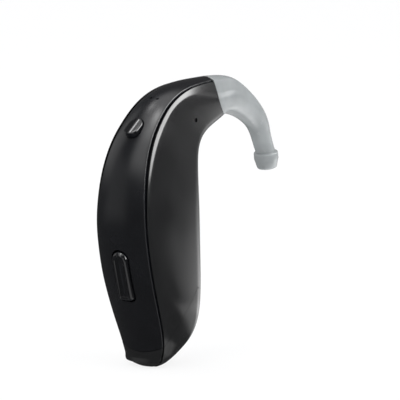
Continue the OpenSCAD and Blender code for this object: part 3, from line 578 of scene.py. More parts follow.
def grain_group() -> bpy.types.NodeTree:
    """Builds the shader group for a moulded skin: mould grain, handled patches, and convex edges lightened in
    the colour as part wear, part painted highlight.

    Returns:
        A group with inputs Colour, Worn (edge lightening: part wear, part painted highlight), Scale, Height,
        Gloss and Wander, and outputs Colour, Roughness and Normal.
    """
    tree = new_group(
        "moulded_grain", "ShaderNodeTree",
        {"Colour": "Color", "Worn": "Float", "Scale": "Float", "Height": "Float", "Gloss": "Float",
         "Wander": "Float"},
        {"Colour": "Color", "Roughness": "Float", "Normal": "Vector"})
    given = add_node(tree, "NodeGroupInput").outputs
    spot = add_node(tree, "ShaderNodeTexCoord").outputs["Object"]
    shape = add_node(tree, "ShaderNodeNewGeometry").outputs["Pointiness"]

    def noise(scale: bpy.types.NodeSocket | float, detail: float) -> bpy.types.NodeSocket:
        """Noise over the piece, at a scale and with some octaves of detail."""
        inputs = {"Vector": spot, "Scale": scale, "Detail": detail}
        return add_node(tree, "ShaderNodeTexNoise", inputs).outputs["Fac"]

    def spread(value: bpy.types.NodeSocket, one: Sequence[float],
               other: Sequence[float]) -> bpy.types.NodeSocket:
        """A value carried over from one range to another."""
        ends = dict(zip(("From Min", "From Max", "To Min", "To Max"), (*one, *other)))
        return add_node(tree, "ShaderNodeMapRange", {"Value": value, **ends}).outputs["Result"]

    grain, patches, scuff_and_sheen_noise = noise(given["Scale"], 3), noise(PATCH_SCALE, 2), noise(SCUFF_AND_SHEEN_SCALE, 4)
    bump = add_node(tree, "ShaderNodeBump", {
        "Strength": given["Height"], "Distance": GRAIN_STEP, "Height": grain})
    roughness = math_node(tree, "MULTIPLY_ADD", patches, given["Wander"], given["Gloss"])
    # Painted highlight: convex edges are lightened in the base colour, part wear and part a stand-in for edge
    # glints.
    edge_wear_and_highlight = math_node(tree, "MULTIPLY", spread(shape, EDGE_WEAR_AND_HIGHLIGHT, (0, 1)), scuff_and_sheen_noise)
    gain = math_node(tree, "MULTIPLY_ADD", edge_wear_and_highlight, given["Worn"], spread(patches, PATCH_RANGE, PATCH_TINT))
    tint = add_node(tree, "ShaderNodeVectorMath", {0: given["Colour"], "Scale": gain}, operation="SCALE")
    add_node(tree, "NodeGroupOutput", {
        "Colour": tint.outputs["Vector"], "Roughness": roughness, "Normal": bump.outputs["Normal"]})
    return tree


@dataclass(frozen=True)
class Finish:
    """One finish: a moulded or metal skin with grain, in linear colours."""

    name: str
    colour: tuple
    gloss: float = 0.3
    wander: float = 0.06
    grain: float = 0.05
    grain_scale: float = 9000
    # How much the edges are lightened in the colour: part wear, part painted highlight.
    worn: float = 1.0
    metal: float = 0.0
    subsurface: float = 0.0
    subsurface_depth: float = 0.0015

    def build(self, group: bpy.types.NodeTree) -> bpy.types.Material:
        """Makes the material.

        Args:
            group: The moulded grain group.

        Returns:
            The material.
        """
        material = bpy.data.materials.new(self.name)
        material.use_nodes = True
        tree = material.node_tree
        shader = tree.nodes["Principled BSDF"]
        plain = {
            "Metallic": self.metal, "Subsurface Weight": self.subsurface,
            "Subsurface Radius": (1, 1, 1), "Subsurface Scale": self.subsurface_depth,
        }
        for name, value in plain.items():
            shader.inputs[name].default_value = value
        grain = add_node(tree, "ShaderNodeGroup", {
            "Scale": self.grain_scale, "Height": self.grain, "Gloss": self.gloss, "Wander": self.wander,
            "Colour": (*self.colour, 1), "Worn": self.worn}, node_tree=group)
        for name, socket in (("Colour", "Base Color"), ("Roughness", "Roughness"), ("Normal", "Normal")):
            tree.links.new(grain.outputs[name], shader.inputs[socket])
        return material


FINISHES: dict[str, Finish] = {
    "casing": Finish("satin_anthracite", (0.0105, 0.0107, 0.011), gloss=0.14, wander=0.06, grain=0.05),
    "spine": Finish("satin_black", (0.005, 0.0054, 0.0068), gloss=0.24, wander=0.05, grain=0.05),
    "hook_plastic": Finish("milky_grey", (0.33, 0.345, 0.345), gloss=0.2, wander=0.05, grain=0.03,
                           subsurface=0.5, worn=0.15),
    # The controls' edges are lightened most: part wear, part painted highlight on their rims.
    "controls": Finish("polished_black", (0.004, 0.0042, 0.005), gloss=0.07, wander=0.05, grain=0.03, worn=2),
    "frame_plastic": Finish("natural_nylon", (0.62, 0.6, 0.54), gloss=0.5, grain=0.2),
    "steel": Finish("stainless", (0.56, 0.57, 0.58), gloss=0.25, metal=1, grain=0.08),
    "brass": Finish("gilt", (0.78, 0.56, 0.24), gloss=0.22, metal=1, grain=0.05),
    "rubber": Finish("black_rubber", (0.02, 0.02, 0.021), gloss=0.6, grain=0.25),
    "silicone": Finish("natural_silicone", (0.6, 0.6, 0.58), gloss=0.4, subsurface=0.4),
    "board": Finish("solder_mask", (0.02, 0.14, 0.07), gloss=0.35, grain=0.2),
    "chip": Finish("package_black", (0.015, 0.015, 0.016), gloss=0.45, grain=0.3),
    "components": Finish("capacitor", (0.33, 0.22, 0.13), gloss=0.4, grain=0.2),
    "copper": Finish("enamelled_wire", (0.45, 0.13, 0.05), gloss=0.25, grain=0.5, grain_scale=2500),
    "cell": Finish("nickel_can", (0.62, 0.61, 0.6), gloss=0.22, metal=1, grain=0.1),
    "red_wire": Finish("red_insulation", (0.45, 0.03, 0.02), gloss=0.35),
    "blue_wire": Finish("blue_insulation", (0.03, 0.1, 0.4), gloss=0.35),
}


@dataclass
class Paints:
    """The built materials, one for each of the record's slots."""

    group: bpy.types.NodeTree = field(default_factory=grain_group)
    made: dict = field(default_factory=dict)

    def get(self, slot: str) -> bpy.types.Material:
        """The material of a slot, built the first time."""
        if slot not in self.made:
            self.made[slot] = FINISHES[slot].build(self.group)
        return self.made[slot]

    def dress(self, obj: bpy.types.Object, slot: str) -> None:
        """Gives a piece the material of a slot, or another finish by its name."""
        obj.data.materials.clear()
        obj.data.materials.append(self.get(slot))


def finish_piece(obj: bpy.types.Object, paints: Paints, slot: str, body: str, *nodes: str,
                 skin: str = "") -> None:
    """Dresses a piece, ties it to its body and lets it stand for its CAD nodes.

    Args:
        obj: The piece.
        paints: The materials.
        slot: The record's material slot.
        body: The CAD body that it rides on.
        nodes: The CAD nodes that it replaces.
        skin: The finish, where it isn't the slot's own.
    """
    paints.dress(obj, skin or slot)
    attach(obj, body)
    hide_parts(*nodes)
    log.info("%s: %d faces, stands for %s", obj.name, len(obj.data.polygons), ", ".join(nodes))


# Places that pieces share


@dataclass
class Door:
    """The hinge of the battery door and the wedge of the casing that belongs to it."""

    lines: Lines
    sections: Sections
    cell_x: float = -8.2008
    cell_z: float = 8.7984
    cell_t: float = 5.4
    pocket_r: float = 4.1
    cradle_r: float = 4.55
    cradle_half: float = 2.55
    hinge_x: float = -4.3
    hinge_z: float = 11.8457
    knuckle_r: float = 1.75
    knuckle_half: float = 2.7
    pin_r: float = 0.4
    end_share: float = 0.123
    gap: float = 0.05
    lip_low_u: float = 1.2
    lip_high_u: float = 2.1
    lip_reach: float = 0.34
    lip_turn: float = 0.24
    top_u: float = 8
    cell_gap: float = 0.05
    pin_gap: float = 0.05
    mouth_reach: float = 7.9
    ring_count: int = 90

    @property
    def end_u(self) -> float:
        """Station where the spine cover ends and the door's back begins."""
        return self.end_share * self.lines.last_row

    def wedge(self, gap: float = 0.0) -> bpy.types.Object:
        """The space under the hinge that the door fills, moved off its seam by a gap."""
        hinge = np.array([self.hinge_x, self.hinge_z])
        way = unit(self.lines.station(self.end_u)[:2] - hinge)
        slip = gap * np.array([-way[1], way[0]])
        far = self.lines.body_height
        outline = [slip, slip + far * way, [-far, -far], [far, -far], [far, slip[1]]]
        wide = self.lines.body_width
        rings = [np.array([[hinge[0] + p[0], y, hinge[1] + p[1]] for p in outline]) for y in (-wide, wide)]
        return loft("wedge", rings)

    def beside(self, radius: float) -> list[bpy.types.Object]:
        """The shells' two ears beside the knuckle, as cylinders."""
        at = (self.hinge_x, self.hinge_z)
        wide = self.lines.body_width
        return [rod("ear", radius, -wide, -self.knuckle_half, at),
                rod("ear", radius, self.knuckle_half, wide, at)]

    def knuckle(self, radius: float, half: float) -> bpy.types.Object:
        """The knuckle in the middle of the hinge."""
        return rod("knuckle", radius, -half, half, (self.hinge_x, self.hinge_z))

    def lip_row(self, u: float) -> np.ndarray:
        """A section of the door, drawn out at its fingernail lip."""
        r = self.lines.station(u)
        t = (self.lip_high_u - u) / (self.lip_high_u - self.lip_low_u)
        under = (u - self.lip_low_u + self.lip_turn) / self.lip_turn
        rise = t * t if t < 1 else math.sqrt(max(0.0, 1 - (1 - under) ** 2))
        rise = rise if 0 < t and under > 0 else 0.0
        way = unit(r[2:4] - r[0:2])
        reach = self.lip_reach * rise
        r = r.copy()
        r[0:2] -= way * reach
        r[4] = min(r[4] + reach, r[5])
        return r

    def build(self) -> bpy.types.Object:
        """The battery door: its skin, its knuckle and the cradle round the cell."""
        space = self.wedge(self.gap)
        for ear in self.beside(self.knuckle_r + self.gap):
            combine(space, ear, Cut.TAKE)
        combine(space, self.knuckle(self.knuckle_r, self.knuckle_half - self.gap), Cut.JOIN)
        lip_foot_u = self.lip_low_u - self.lip_turn
        stops = np.concatenate([
            np.linspace(0, lip_foot_u, 16)[:-1],
            np.linspace(lip_foot_u, self.lip_low_u, 10)[:-1],
            np.linspace(self.lip_low_u, self.lip_high_u, 20)[:-1],
            np.linspace(self.lip_high_u, self.top_u, self.ring_count),
        ])
        door = loft("battery_door_skin", [self.sections.door(self.lip_row(u)) for u in stops])
        combine(door, space, Cut.KEEP)
        cell = (self.cell_x, self.cell_z)
        cradle = rod("cradle", self.cradle_r, -self.cradle_half, self.cradle_half, cell, 96)
        combine(cradle, self.mouth(), Cut.TAKE)
        combine(door, cradle, Cut.JOIN)
        half = self.cell_t / 2 + self.cell_gap
        combine(door, rod("pocket", self.pocket_r, -half, half, cell, 96), Cut.TAKE)
        wide = self.lines.body_width
        hinge = (self.hinge_x, self.hinge_z)
        combine(door, rod("pin", self.pin_r + self.pin_gap, -wide, wide, hinge, 32), Cut.TAKE)
        return smooth(door)

    def mouth(self) -> bpy.types.Object:
        """The open side of the cradle, towards the chassis."""
        far = self.mouth_reach
        half = self.lines.body_width / 2
        outline = [(0, 0), (-far, far), (-far / 2, 2 * far), (far, 2 * far), (far, far)]
        return loft("mouth", [
            np.array([[self.cell_x + x, y, self.cell_z + z] for x, z in outline]) for y in (-half, half)
        ])


@dataclass
class Nose:
    """The round face between the casing's nose and the hook."""

    lines: Lines
    centre_share: float = -0.108
    lean: float = 24
    radius: float = 2.9
    gap: float = 0.03

    def turned(self, points: Iterable) -> np.ndarray:
        """Points in the leaned frame of the nose, put in space."""
        lean = math.radians(-self.lean)
        p = np.asarray(list(points), float)
        x, z = self.lines.share_x(self.centre_share), self.lines.body_height
        return np.stack([x + p[:, 0] * math.cos(lean) + p[:, 2] * math.sin(lean), p[:, 1],
                         z - p[:, 0] * math.sin(lean) + p[:, 2] * math.cos(lean)], 1)

    def bar(self, radius: float, sides: int = 128) -> bpy.types.Object:
        """The upright bar whose face the nose and the hook share."""
        turn = np.linspace(0, 2 * np.pi, sides, endpoint=False)
        far = self.lines.body_height
        return loft("bar", [
            self.turned([(radius * math.cos(t), radius * math.sin(t), z) for t in turn]) for z in (-far, far)
        ])

    def half(self, low: float, high: float) -> bpy.types.Object:
        """The space before or behind the bar's middle."""
        far, wide = self.lines.body_height, self.lines.body_width
        corners = [(low, -wide), (high, -wide), (high, wide), (low, wide)]
        return loft("half", [self.turned([(x, y, z) for x, y in corners]) for z in (-far, far)])

    def before(self) -> bpy.types.Object:
        """All that lies in front of the round face."""
        return combine(self.half(0, 2 * self.lines.hook_reach), self.bar(self.radius), Cut.TAKE)

    def behind(self) -> bpy.types.Object:
        """All that the hook leaves to the nose."""
        return combine(self.half(-2 * self.lines.hook_reach, 0), self.bar(self.radius + self.gap), Cut.JOIN)


@dataclass
class Outline:
    """The outline of a control, seen from above the spine: round at its upper end."""

    length: float
    width: float
    low_round: float

    def points(self, grow: float = 0.0, steps: int = 14) -> np.ndarray:
        """The outline's points, grown by a distance.

        Args:
            grow: Distance outwards, or inwards where it is negative.
            steps: Segments in each rounded corner.

        Returns:
            The points, from the lower left corner round.
        """
        half = self.width / 2 + grow
        end = self.length / 2 + grow
        low_r = max(0.05, self.low_round + grow)
        high_r = half
        corners = (
            (end - high_r, 0.0, high_r, -90, 180),
            (-end + low_r, half - low_r, low_r, 90, 90),
            (-end + low_r, -half + low_r, low_r, 180, 90),
        )
        parts = []
        for x, y, r, start, sweep in corners:
            turn = np.radians(np.linspace(start, start + sweep, steps * sweep // 90 + 1))
            parts.append(np.stack([x + r * np.cos(turn), y + r * np.sin(turn)], 1))
        return np.concatenate(parts)


def port_group() -> bpy.types.NodeTree:
    """Builds the node group that repeats a drill along a straight line.

    The drills are only cut out of the spine cover, so the group sets no material on them.

    Returns:
        A geometry group with inputs Count, First, Last, Turn, Radius and Depth.
    """
    tree = new_group(
        "port_drills", "GeometryNodeTree",
        {"Geometry": "Geometry", "Count": "Int", "First": "Vector", "Last": "Vector", "Turn": "Vector",
         "Radius": "Float", "Depth": "Float"},
        {"Geometry": "Geometry"})
    given = add_node(tree, "NodeGroupInput").outputs
    line = add_node(tree, "GeometryNodeMeshLine", {
        "Count": given["Count"], "Start Location": given["First"], "Offset": given["Last"]},
        mode="END_POINTS")
    drill = add_node(tree, "GeometryNodeMeshCylinder", {
        "Vertices": 24, "Radius": given["Radius"], "Depth": given["Depth"]})
    copies = add_node(tree, "GeometryNodeInstanceOnPoints", {
        "Points": line.outputs["Mesh"], "Instance": drill.outputs["Mesh"], "Rotation": given["Turn"]})
    real = add_node(tree, "GeometryNodeRealizeInstances", {"Geometry": copies.outputs["Instances"]})
    add_node(tree, "NodeGroupOutput", {"Geometry": real.outputs["Geometry"]})
    return tree


# Sub-assemblies


# How far cuts through the spine cover reach below and above its seam.
CUT_LOW = -1.0
CUT_HIGH = 4.0


@dataclass
class Casing:
    """The two moulded shells and the spine cover between them."""

    lines: Lines
    sections: Sections
    door: Door
    nose: Nose
    ring_count: int = 200
    shell_from_u: float = 1.196
    spine_from_u: float = 1.794
    port_count: int = 2
    port_r: float = 0.2
    port_apart: float = 1.1
    port_share: float = 0.533
    port_depth: float = 6
    pin_share: float = 0.548
    pin_depth_share: float = 0.56
    pin_half: float = 2.79
    pin_r: float = 0.3

    def shell(self, side: Side) -> bpy.types.Object:
        """One shell, cut for the door, the hinge and the nose."""
        stops = np.linspace(self.shell_from_u, self.lines.nose_row + 1, self.ring_count)
        rings = [self.sections.shell(self.lines.station(u), side) for u in stops]
        shell = loft(f"{side.name.lower()}_shell_skin", rings)
        door = self.door
        space = door.wedge()
        for ear in door.beside(door.knuckle_r):
            combine(space, ear, Cut.TAKE)
        combine(shell, space, Cut.TAKE)
        combine(shell, door.knuckle(door.knuckle_r + door.gap, door.knuckle_half + door.gap), Cut.TAKE)
        combine(shell, self.nose.before(), Cut.TAKE)
        combine(shell, self.pin_hole(side), Cut.TAKE)
        return smooth(shell)

    def pin_hole(self, side: Side) -> bpy.types.Object:
        """The small hole over the end of the cross pin."""
        r = self.lines.station(self.pin_share * self.lines.last_row)
        at = r[0:2] + (r[2:4] - r[0:2]) * self.pin_depth_share
        ends = sorted((side.value * self.pin_half, side.value * self.lines.body_width))
        return rod("pin_hole", self.pin_r, ends[0], ends[1], at, 32)

    def ports(self) -> bpy.types.Object:
        """The sound ports, one drill repeated along a line across the spine."""
        u = self.port_share * self.lines.last_row
        half = self.port_apart / 2
        ends = self.lines.on_back(u, [(0, -half, 0), (0, half, 0)]) * MM
        way = self.lines.back_way(u)
        sizes = {
            "Count": self.port_count, "First": tuple(ends[0]), "Last": tuple(ends[1]),
            "Turn": (0, math.atan2(-way[1], way[0]), 0), "Radius": self.port_r * MM,
            "Depth": self.port_depth * MM,
        }
        obj = new_object("ports", [], [])
        step = obj.modifiers.new("repeat", "NODES")
        step.node_group = port_group()
        for socket in step.node_group.interface.items_tree:
            if socket.in_out == "INPUT" and socket.name in sizes:
                step[socket.identifier] = sizes[socket.name]
        return bake(obj)

    def spine(self, rocker: "Rocker", button: "Button") -> bpy.types.Object:
        """The spine cover, with its openings for the controls and the sound."""
        stops = np.linspace(self.spine_from_u, self.lines.nose_row + 1, self.ring_count)
        spine = loft("spine_cover_skin", [self.sections.spine(self.lines.station(u)) for u in stops])
        combine(spine, self.door.wedge(-self.door.gap), Cut.TAKE)
        combine(spine, self.nose.before(), Cut.TAKE)
        combine(spine, button.well(), Cut.TAKE)
        combine(spine, rocker.well(), Cut.TAKE)
        combine(spine, self.ports(), Cut.TAKE)
        return smooth(spine)


@dataclass
class Button:
    """The push button on the shoulder of the spine."""

    lines: Lines
    share: float = 0.467
    length: float = 3.0
    width: float = 2.2
    rise: float = 1.0
    fall: float = 0.8
    roof: float = 0.22
    flange: float = 0.35
    stem: float = 0.1
    overlap: float = 0.05
    cover_wall: float = 0.6
    gap: float = 0.12
    rim: tuple = ((0, 0.16), (-0.01, 0.1), (-0.04, 0.05), (-0.08, 0.02), (-0.14, 0), (-0.25, 0), (-0.4, 0),
                  (-0.6, 0), (-0.8, 0), (-1.0, 0))

    @property
    def u(self) -> float:
        """Place along the spine."""
        return self.share * self.lines.last_row

    def top(self, x: float, sink: float) -> float:
        """Height of the face at a place along the button."""
        crown = self.lines.crown(self.lines.station(self.u))
        return self.rise + crown - (x + self.length / 2) * self.fall / self.length - sink

    def well(self) -> bpy.types.Object:
        """The opening in the spine cover."""
        length, width = self.length + 2 * self.gap, self.width + 2 * self.gap
        outline = Outline(length, width, self.width / 2 + self.gap).points()
        return self.lines.block_on_back("button_well", self.u, outline, CUT_LOW, CUT_HIGH)

    def build(self) -> bpy.types.Object:
        """The button with its rounded rim, its flange and its stem."""
        shape = Outline(self.length, self.width, self.width / 2)
        low = max(0.0, self.lines.crown(self.lines.station(self.u)) - self.cover_wall) - self.stem
        rings = [self.lines.on_back(self.u, [(x, y, low) for x, y in shape.points()])]
        for grow, sink in self.rim:
            face = [(x, y, self.top(x, sink + self.roof * (y / self.width * 2) ** 2))
                    for x, y in shape.points(grow)]
            rings.append(self.lines.on_back(self.u, face))
        body = loft("push_button_skin", rings)
        length, width = self.length + self.flange, self.width + self.flange
        wide = Outline(length, width, width / 2).points()
        top = low + self.overlap
        return smooth(merge(body, self.lines.block_on_back("flange", self.u, wide, top - self.flange, top)))


@dataclass
class Rocker:
    """The volume rocker, with its raised rim round a dished face."""

    lines: Lines
    share: float = 0.267
    length: float = 7.1
    width: float = 2.5
    rise: float = 0.4
    swing: float = 4
    pin_z: float = -0.75
    lug_r: float = 0.5
    lug_half: float = 0.85
    bore_r: float = 0.275
    low: float = -0.1
    overlap: float = 0.05
    gap: float = 0.12
    rim: tuple = ((0, 0.62), (-0.04, 0.48), (-0.11, 0.31), (-0.19, 0.16), (-0.28, 0.05), (-0.36, 0.01),
                  (-0.42, 0), (-0.5, 0.05), (-0.56, 0.15), (-0.66, 0.22), (-0.88, 0.25), (-1.1, 0.255))

    @property
    def u(self) -> float:
        """Place along the spine."""
        return self.share * self.lines.last_row

    @property
    def top(self) -> float:
        """Height of the rim over the seam."""
        return self.rise + self.lines.crown(self.lines.station(self.u))

    def well(self) -> bpy.types.Object:
        """The opening in the spine cover."""
        room = self.top * math.sin(math.radians(self.swing)) + self.gap
        outline = Outline(self.length, self.width, self.width / 4).points(room)
        return self.lines.block_on_back("rocker_well", self.u, outline, CUT_LOW, CUT_HIGH)

    def build(self) -> bpy.types.Object:
        """The rocker's body, rim, dish and lug."""
        shape = Outline(self.length, self.width, self.width / 4)
        steps = [(0, self.low)] + [(grow, self.top - sink) for grow, sink in self.rim]
        rings = [self.lines.on_back(self.u, [(x, y, z) for x, y in shape.points(grow)]) for grow, z in steps]
        body = loft("volume_rocker_skin", rings)
        r, half = self.lug_r, self.lug_half
        lug = self.lines.rod_on_back("lug", self.u, r, self.pin_z, half)
        corners = [(-r, -half), (r, -half), (r, half), (-r, half)]
        web = self.lines.block_on_back("web", self.u, corners, self.pin_z, self.low + self.overlap)
        combine(body, combine(web, lug, Cut.JOIN), Cut.JOIN)
        bore = self.lines.rod_on_back("bore", self.u, self.bore_r, self.pin_z, CUT_HIGH)
        return smooth(combine(body, bore, Cut.TAKE))


@dataclass
class EarHook:
    """The hook: one moulded piece from the nose to the tubing nipple, with its sound channel."""

    lines: Lines
    sections: Sections
    nose: Nose
    ring_count: int = 110
    channel_r: float = 0.7
    mouth_r: float = 1.32
    nipple_length: float = 2.1
    nipple_land: float = 0.8
    hook_from_share: float = 0.6
    channel_from: float = 1.9
    channel_short: float = 0.1
    nozzle_out: float = 3.2
    nozzle_z_share: float = 0.925
    socket_r: float = 1.27
    socket_length: float = 4.4
    socket_lap: float = 0.05
    damper_r: float = 0.85
    damper_length: float = 1.45
    outlet_r: float = 0.725
    outlet_depth: float = 1.05
    flare_r: float = 0.86
    flare_length: float = 0.12
    flare_lap: float = 0.02
    flare_reach: float = 4

    def nipple_frame(self, points: Iterable) -> np.ndarray:
        """Points in the nipple's frame, Z out of the mouth, put in space."""
        lean = math.radians(180 - self.lines.nipple_lean)
        base = self.lines.hook_mid(len(self.lines.hook_shares) - 1)
        p = np.asarray(list(points), float)
        return np.stack([base[0] + p[:, 0] * math.cos(lean) + p[:, 2] * math.sin(lean), p[:, 1],
                         base[1] - p[:, 0] * math.sin(lean) + p[:, 2] * math.cos(lean)], 1)

    def circle(self, radius: float, z: float, sides: int = 96) -> Ring:
        """A ring round the nipple's axis, in step with the hook's own rings."""
        turn = np.linspace(0, 2 * np.pi, sides, endpoint=False)
        return self.nipple_frame([(radius * math.cos(t), radius * math.sin(t), z) for t in turn])

    def bore(self) -> bpy.types.Object:
        """The sound channel with the damper's seat and the nozzle's socket."""
        turn = np.linspace(0, 2 * np.pi, 40, endpoint=False)
        rings = []
        first, last = self.lines.nose_row + self.channel_from, self.lines.last_row - self.channel_short
        for u in np.linspace(first, last, 50):
            r = self.lines.station(u)
            way = unit(r[2:4] - r[0:2])
            mid = (r[2:4] + r[0:2]) / 2
            deep = self.channel_r * np.cos(turn)
            across = self.channel_r * np.sin(turn)
            rings.append(np.stack([mid[0] + deep * way[0], across, mid[1] + deep * way[1]], 1))
        tube = loft("channel", rings)
        end = self.nipple_length
        steps = ((self.outlet_r, -self.outlet_depth), (self.outlet_r, end - self.flare_length),
                 (self.flare_r, end + self.flare_lap), (self.flare_r, self.flare_reach))
        mouth = loft("mouth_bore", [self.circle(r, z, 40) for r, z in steps])
        tip = self.lines.share_x(self.nose.centre_share) + self.nose.radius + self.nozzle_out
        z = self.lines.body_height * self.nozzle_z_share
        steps = ((-self.socket_length, self.socket_r), (self.socket_lap, self.socket_r),
                 (self.socket_lap, self.damper_r), (self.damper_length, self.damper_r))
        socket = loft("socket", [
            np.array([[tip + x, r * math.cos(t), z + r * math.sin(t)] for t in turn]) for x, r in steps
        ])
        combine(tube, mouth, Cut.JOIN)
        return combine(tube, socket, Cut.JOIN)

    def build(self) -> bpy.types.Object:
        """The hook's skin, its nipple and its bore."""
        stops = np.linspace(self.hook_from_share * self.lines.last_row, self.lines.last_row, self.ring_count)
        hook = loft("ear_hook_skin", [self.sections.hook(self.lines.station(u)) for u in stops])
        n, land, end = self.lines.nipple_r, self.nipple_land, self.nipple_length
        mouth = self.mouth_r
        profile = [
            (1.0, -0.5), (1.24, -0.45), (1.27, -0.3), (1.4, -0.16), (n - 0.09, -0.1), (n - 0.02, -0.03),
            (n, 0.06), (n, land), (n - 0.02, land + 0.08), (mouth + 0.03, end - 0.14),
            (mouth - 0.03, end - 0.05), (mouth - 0.1, end),
        ]
        combine(hook, loft("nipple", [self.circle(r, z) for r, z in profile]), Cut.JOIN)
        combine(hook, self.nose.behind(), Cut.TAKE)
        combine(hook, self.bore(), Cut.TAKE)
        return smooth(hook, 40)


# Studio


@dataclass(frozen=True)
class Card:
    """A soft-edged bright card, seen only in gloss. Angles are in degrees, from +X and over the horizon."""

    middle: float
    half: float
    low: float
    high: float
    soft: float
    soft_rise: float
    level: float


CARDS: tuple[Card, ...] = (
    Card(middle=-22, half=7, low=-60, high=-9, soft=12, soft_rise=7, level=1.4),
    Card(middle=-22, half=14, low=-46, high=-16, soft=16, soft_rise=6, level=1.3),
    Card(middle=-40, half=14, low=-90, high=-40, soft=16, soft_rise=14, level=1.05),
    Card(middle=-133, half=12, low=-60, high=24, soft=10, soft_rise=10, level=0.9),
    Card(middle=140, half=14, low=-4, high=22, soft=14, soft_rise=8, level=0.4),
    Card(middle=-10, half=20, low=-70, high=60, soft=12, soft_rise=10, level=0.25),
    Card(middle=20, half=14, low=-70, high=-2, soft=10, soft_rise=8, level=0.5),
    Card(middle=-62, half=27, low=10, high=45, soft=9, soft_rise=4, level=15),
    Card(middle=180, half=14, low=32, high=100, soft=14, soft_rise=18, level=2.3),
    Card(middle=90, half=180, low=66, high=100, soft=1, soft_rise=18, level=2.1),
    Card(middle=98, half=12, low=12, high=34, soft=14, soft_rise=12, level=0.85),
)
ROOM_LEVEL = 0.12
FLOOR_LEVEL = 0.1
# The room's level takes over from the floor's between these elevations.
HORIZON = (-4, 2)
# Between the ray depth of a first reflection and that of a later one.
GLOSS_DEPTH = 2.5


@dataclass(frozen=True)
class Lamp:
    """A softbox that points at the casing. Lengths are in metres and the power in watts."""

    name: str
    at: tuple
    size: tuple
    power: float
    in_gloss: bool = False


LAMPS: tuple[Lamp, ...] = (
    Lamp("top_softbox", (-0.2, -0.02, 0.42), (0.26, 0.26), 0.55),
    Lamp("back_softbox", (0, 0.28, 0.38), (0.2, 0.2), 0.16),
    Lamp("button_glint", (0.0, 0.2, 0.43), (0.045, 0.045), 0.055, in_gloss=True),
    Lamp("rocker_glint", (-0.09, 0.02, 0.46), (0.09, 0.09), 0.2, in_gloss=True),
    Lamp("side_softbox", (0.05, -0.42, 0.3), (0.4, 0.14), 0.6),
)


def card_group() -> bpy.types.NodeTree:
    """Builds the group that tells how bright the studio is in a direction.

    Returns:
        A group with the input Direction and the output Level.
    """
    tree = new_group("studio_cards", "ShaderNodeTree", {"Direction": "Vector"}, {"Level": "Float"})

    def fade(value: bpy.types.NodeSocket, dark: float, bright: float) -> bpy.types.NodeSocket:
        """A soft step from 0 at one angle to 1 at another."""
        return add_node(tree, "ShaderNodeMapRange", {"Value": value, "From Min": dark, "From Max": bright},
                        interpolation_type="SMOOTHSTEP").outputs["Result"]

    given = add_node(tree, "NodeGroupInput").outputs["Direction"]
    way = add_node(tree, "ShaderNodeVectorMath", {0: given}, operation="NORMALIZE").outputs["Vector"]
    split = add_node(tree, "ShaderNodeSeparateXYZ", {0: way}).outputs
    turn = math_node(tree, "DEGREES", math_node(tree, "ARCTAN2", split["Y"], split["X"]))
    rise = math_node(tree, "DEGREES", math_node(tree, "ARCSINE", split["Z"]))
    total = math_node(tree, "MULTIPLY_ADD", fade(rise, *HORIZON), ROOM_LEVEL - FLOOR_LEVEL, FLOOR_LEVEL)
    for card in CARDS:
        aside = math_node(tree, "WRAP", math_node(tree, "SUBTRACT", turn, card.middle), 180.0, -180.0)
        across = fade(math_node(tree, "ABSOLUTE", aside), card.half + card.soft, card.half)
        above = fade(rise, card.low - card.soft_rise, card.low)
        below = fade(rise, card.high + card.soft_rise, card.high)
        mask = math_node(tree, "MULTIPLY", across, math_node(tree, "MULTIPLY", above, below))
        total = math_node(tree, "MULTIPLY_ADD", mask, card.level, total)
    add_node(tree, "NodeGroupOutput", {"Level": total})
    return tree


def first_gloss(tree: bpy.types.NodeTree, path: bpy.types.Node) -> bpy.types.NodeSocket:
    """A factor that is 1 where gloss is seen straight from the camera, and 0 after further bounces.

    Args:
        tree: The node tree to build in.
        path: Its Light Path node.

    Returns:
        The factor.
    """
    near = math_node(tree, "LESS_THAN", path.outputs["Ray Depth"], GLOSS_DEPTH)
    return math_node(tree, "MULTIPLY", near, path.outputs["Is Glossy Ray"])


def blend(tree: bpy.types.NodeTree, factor: bpy.types.NodeSocket, off: bpy.types.Node | bpy.types.NodeSocket,
          on: bpy.types.Node) -> bpy.types.NodeSocket:
    """A mix of two shaders' outputs, all of the second one where the factor is 1."""
    first = off if isinstance(off, bpy.types.NodeSocket) else off.outputs[0]
    return add_node(tree, "ShaderNodeMixShader", {0: factor, 1: first, 2: on.outputs[0]}).outputs[0]


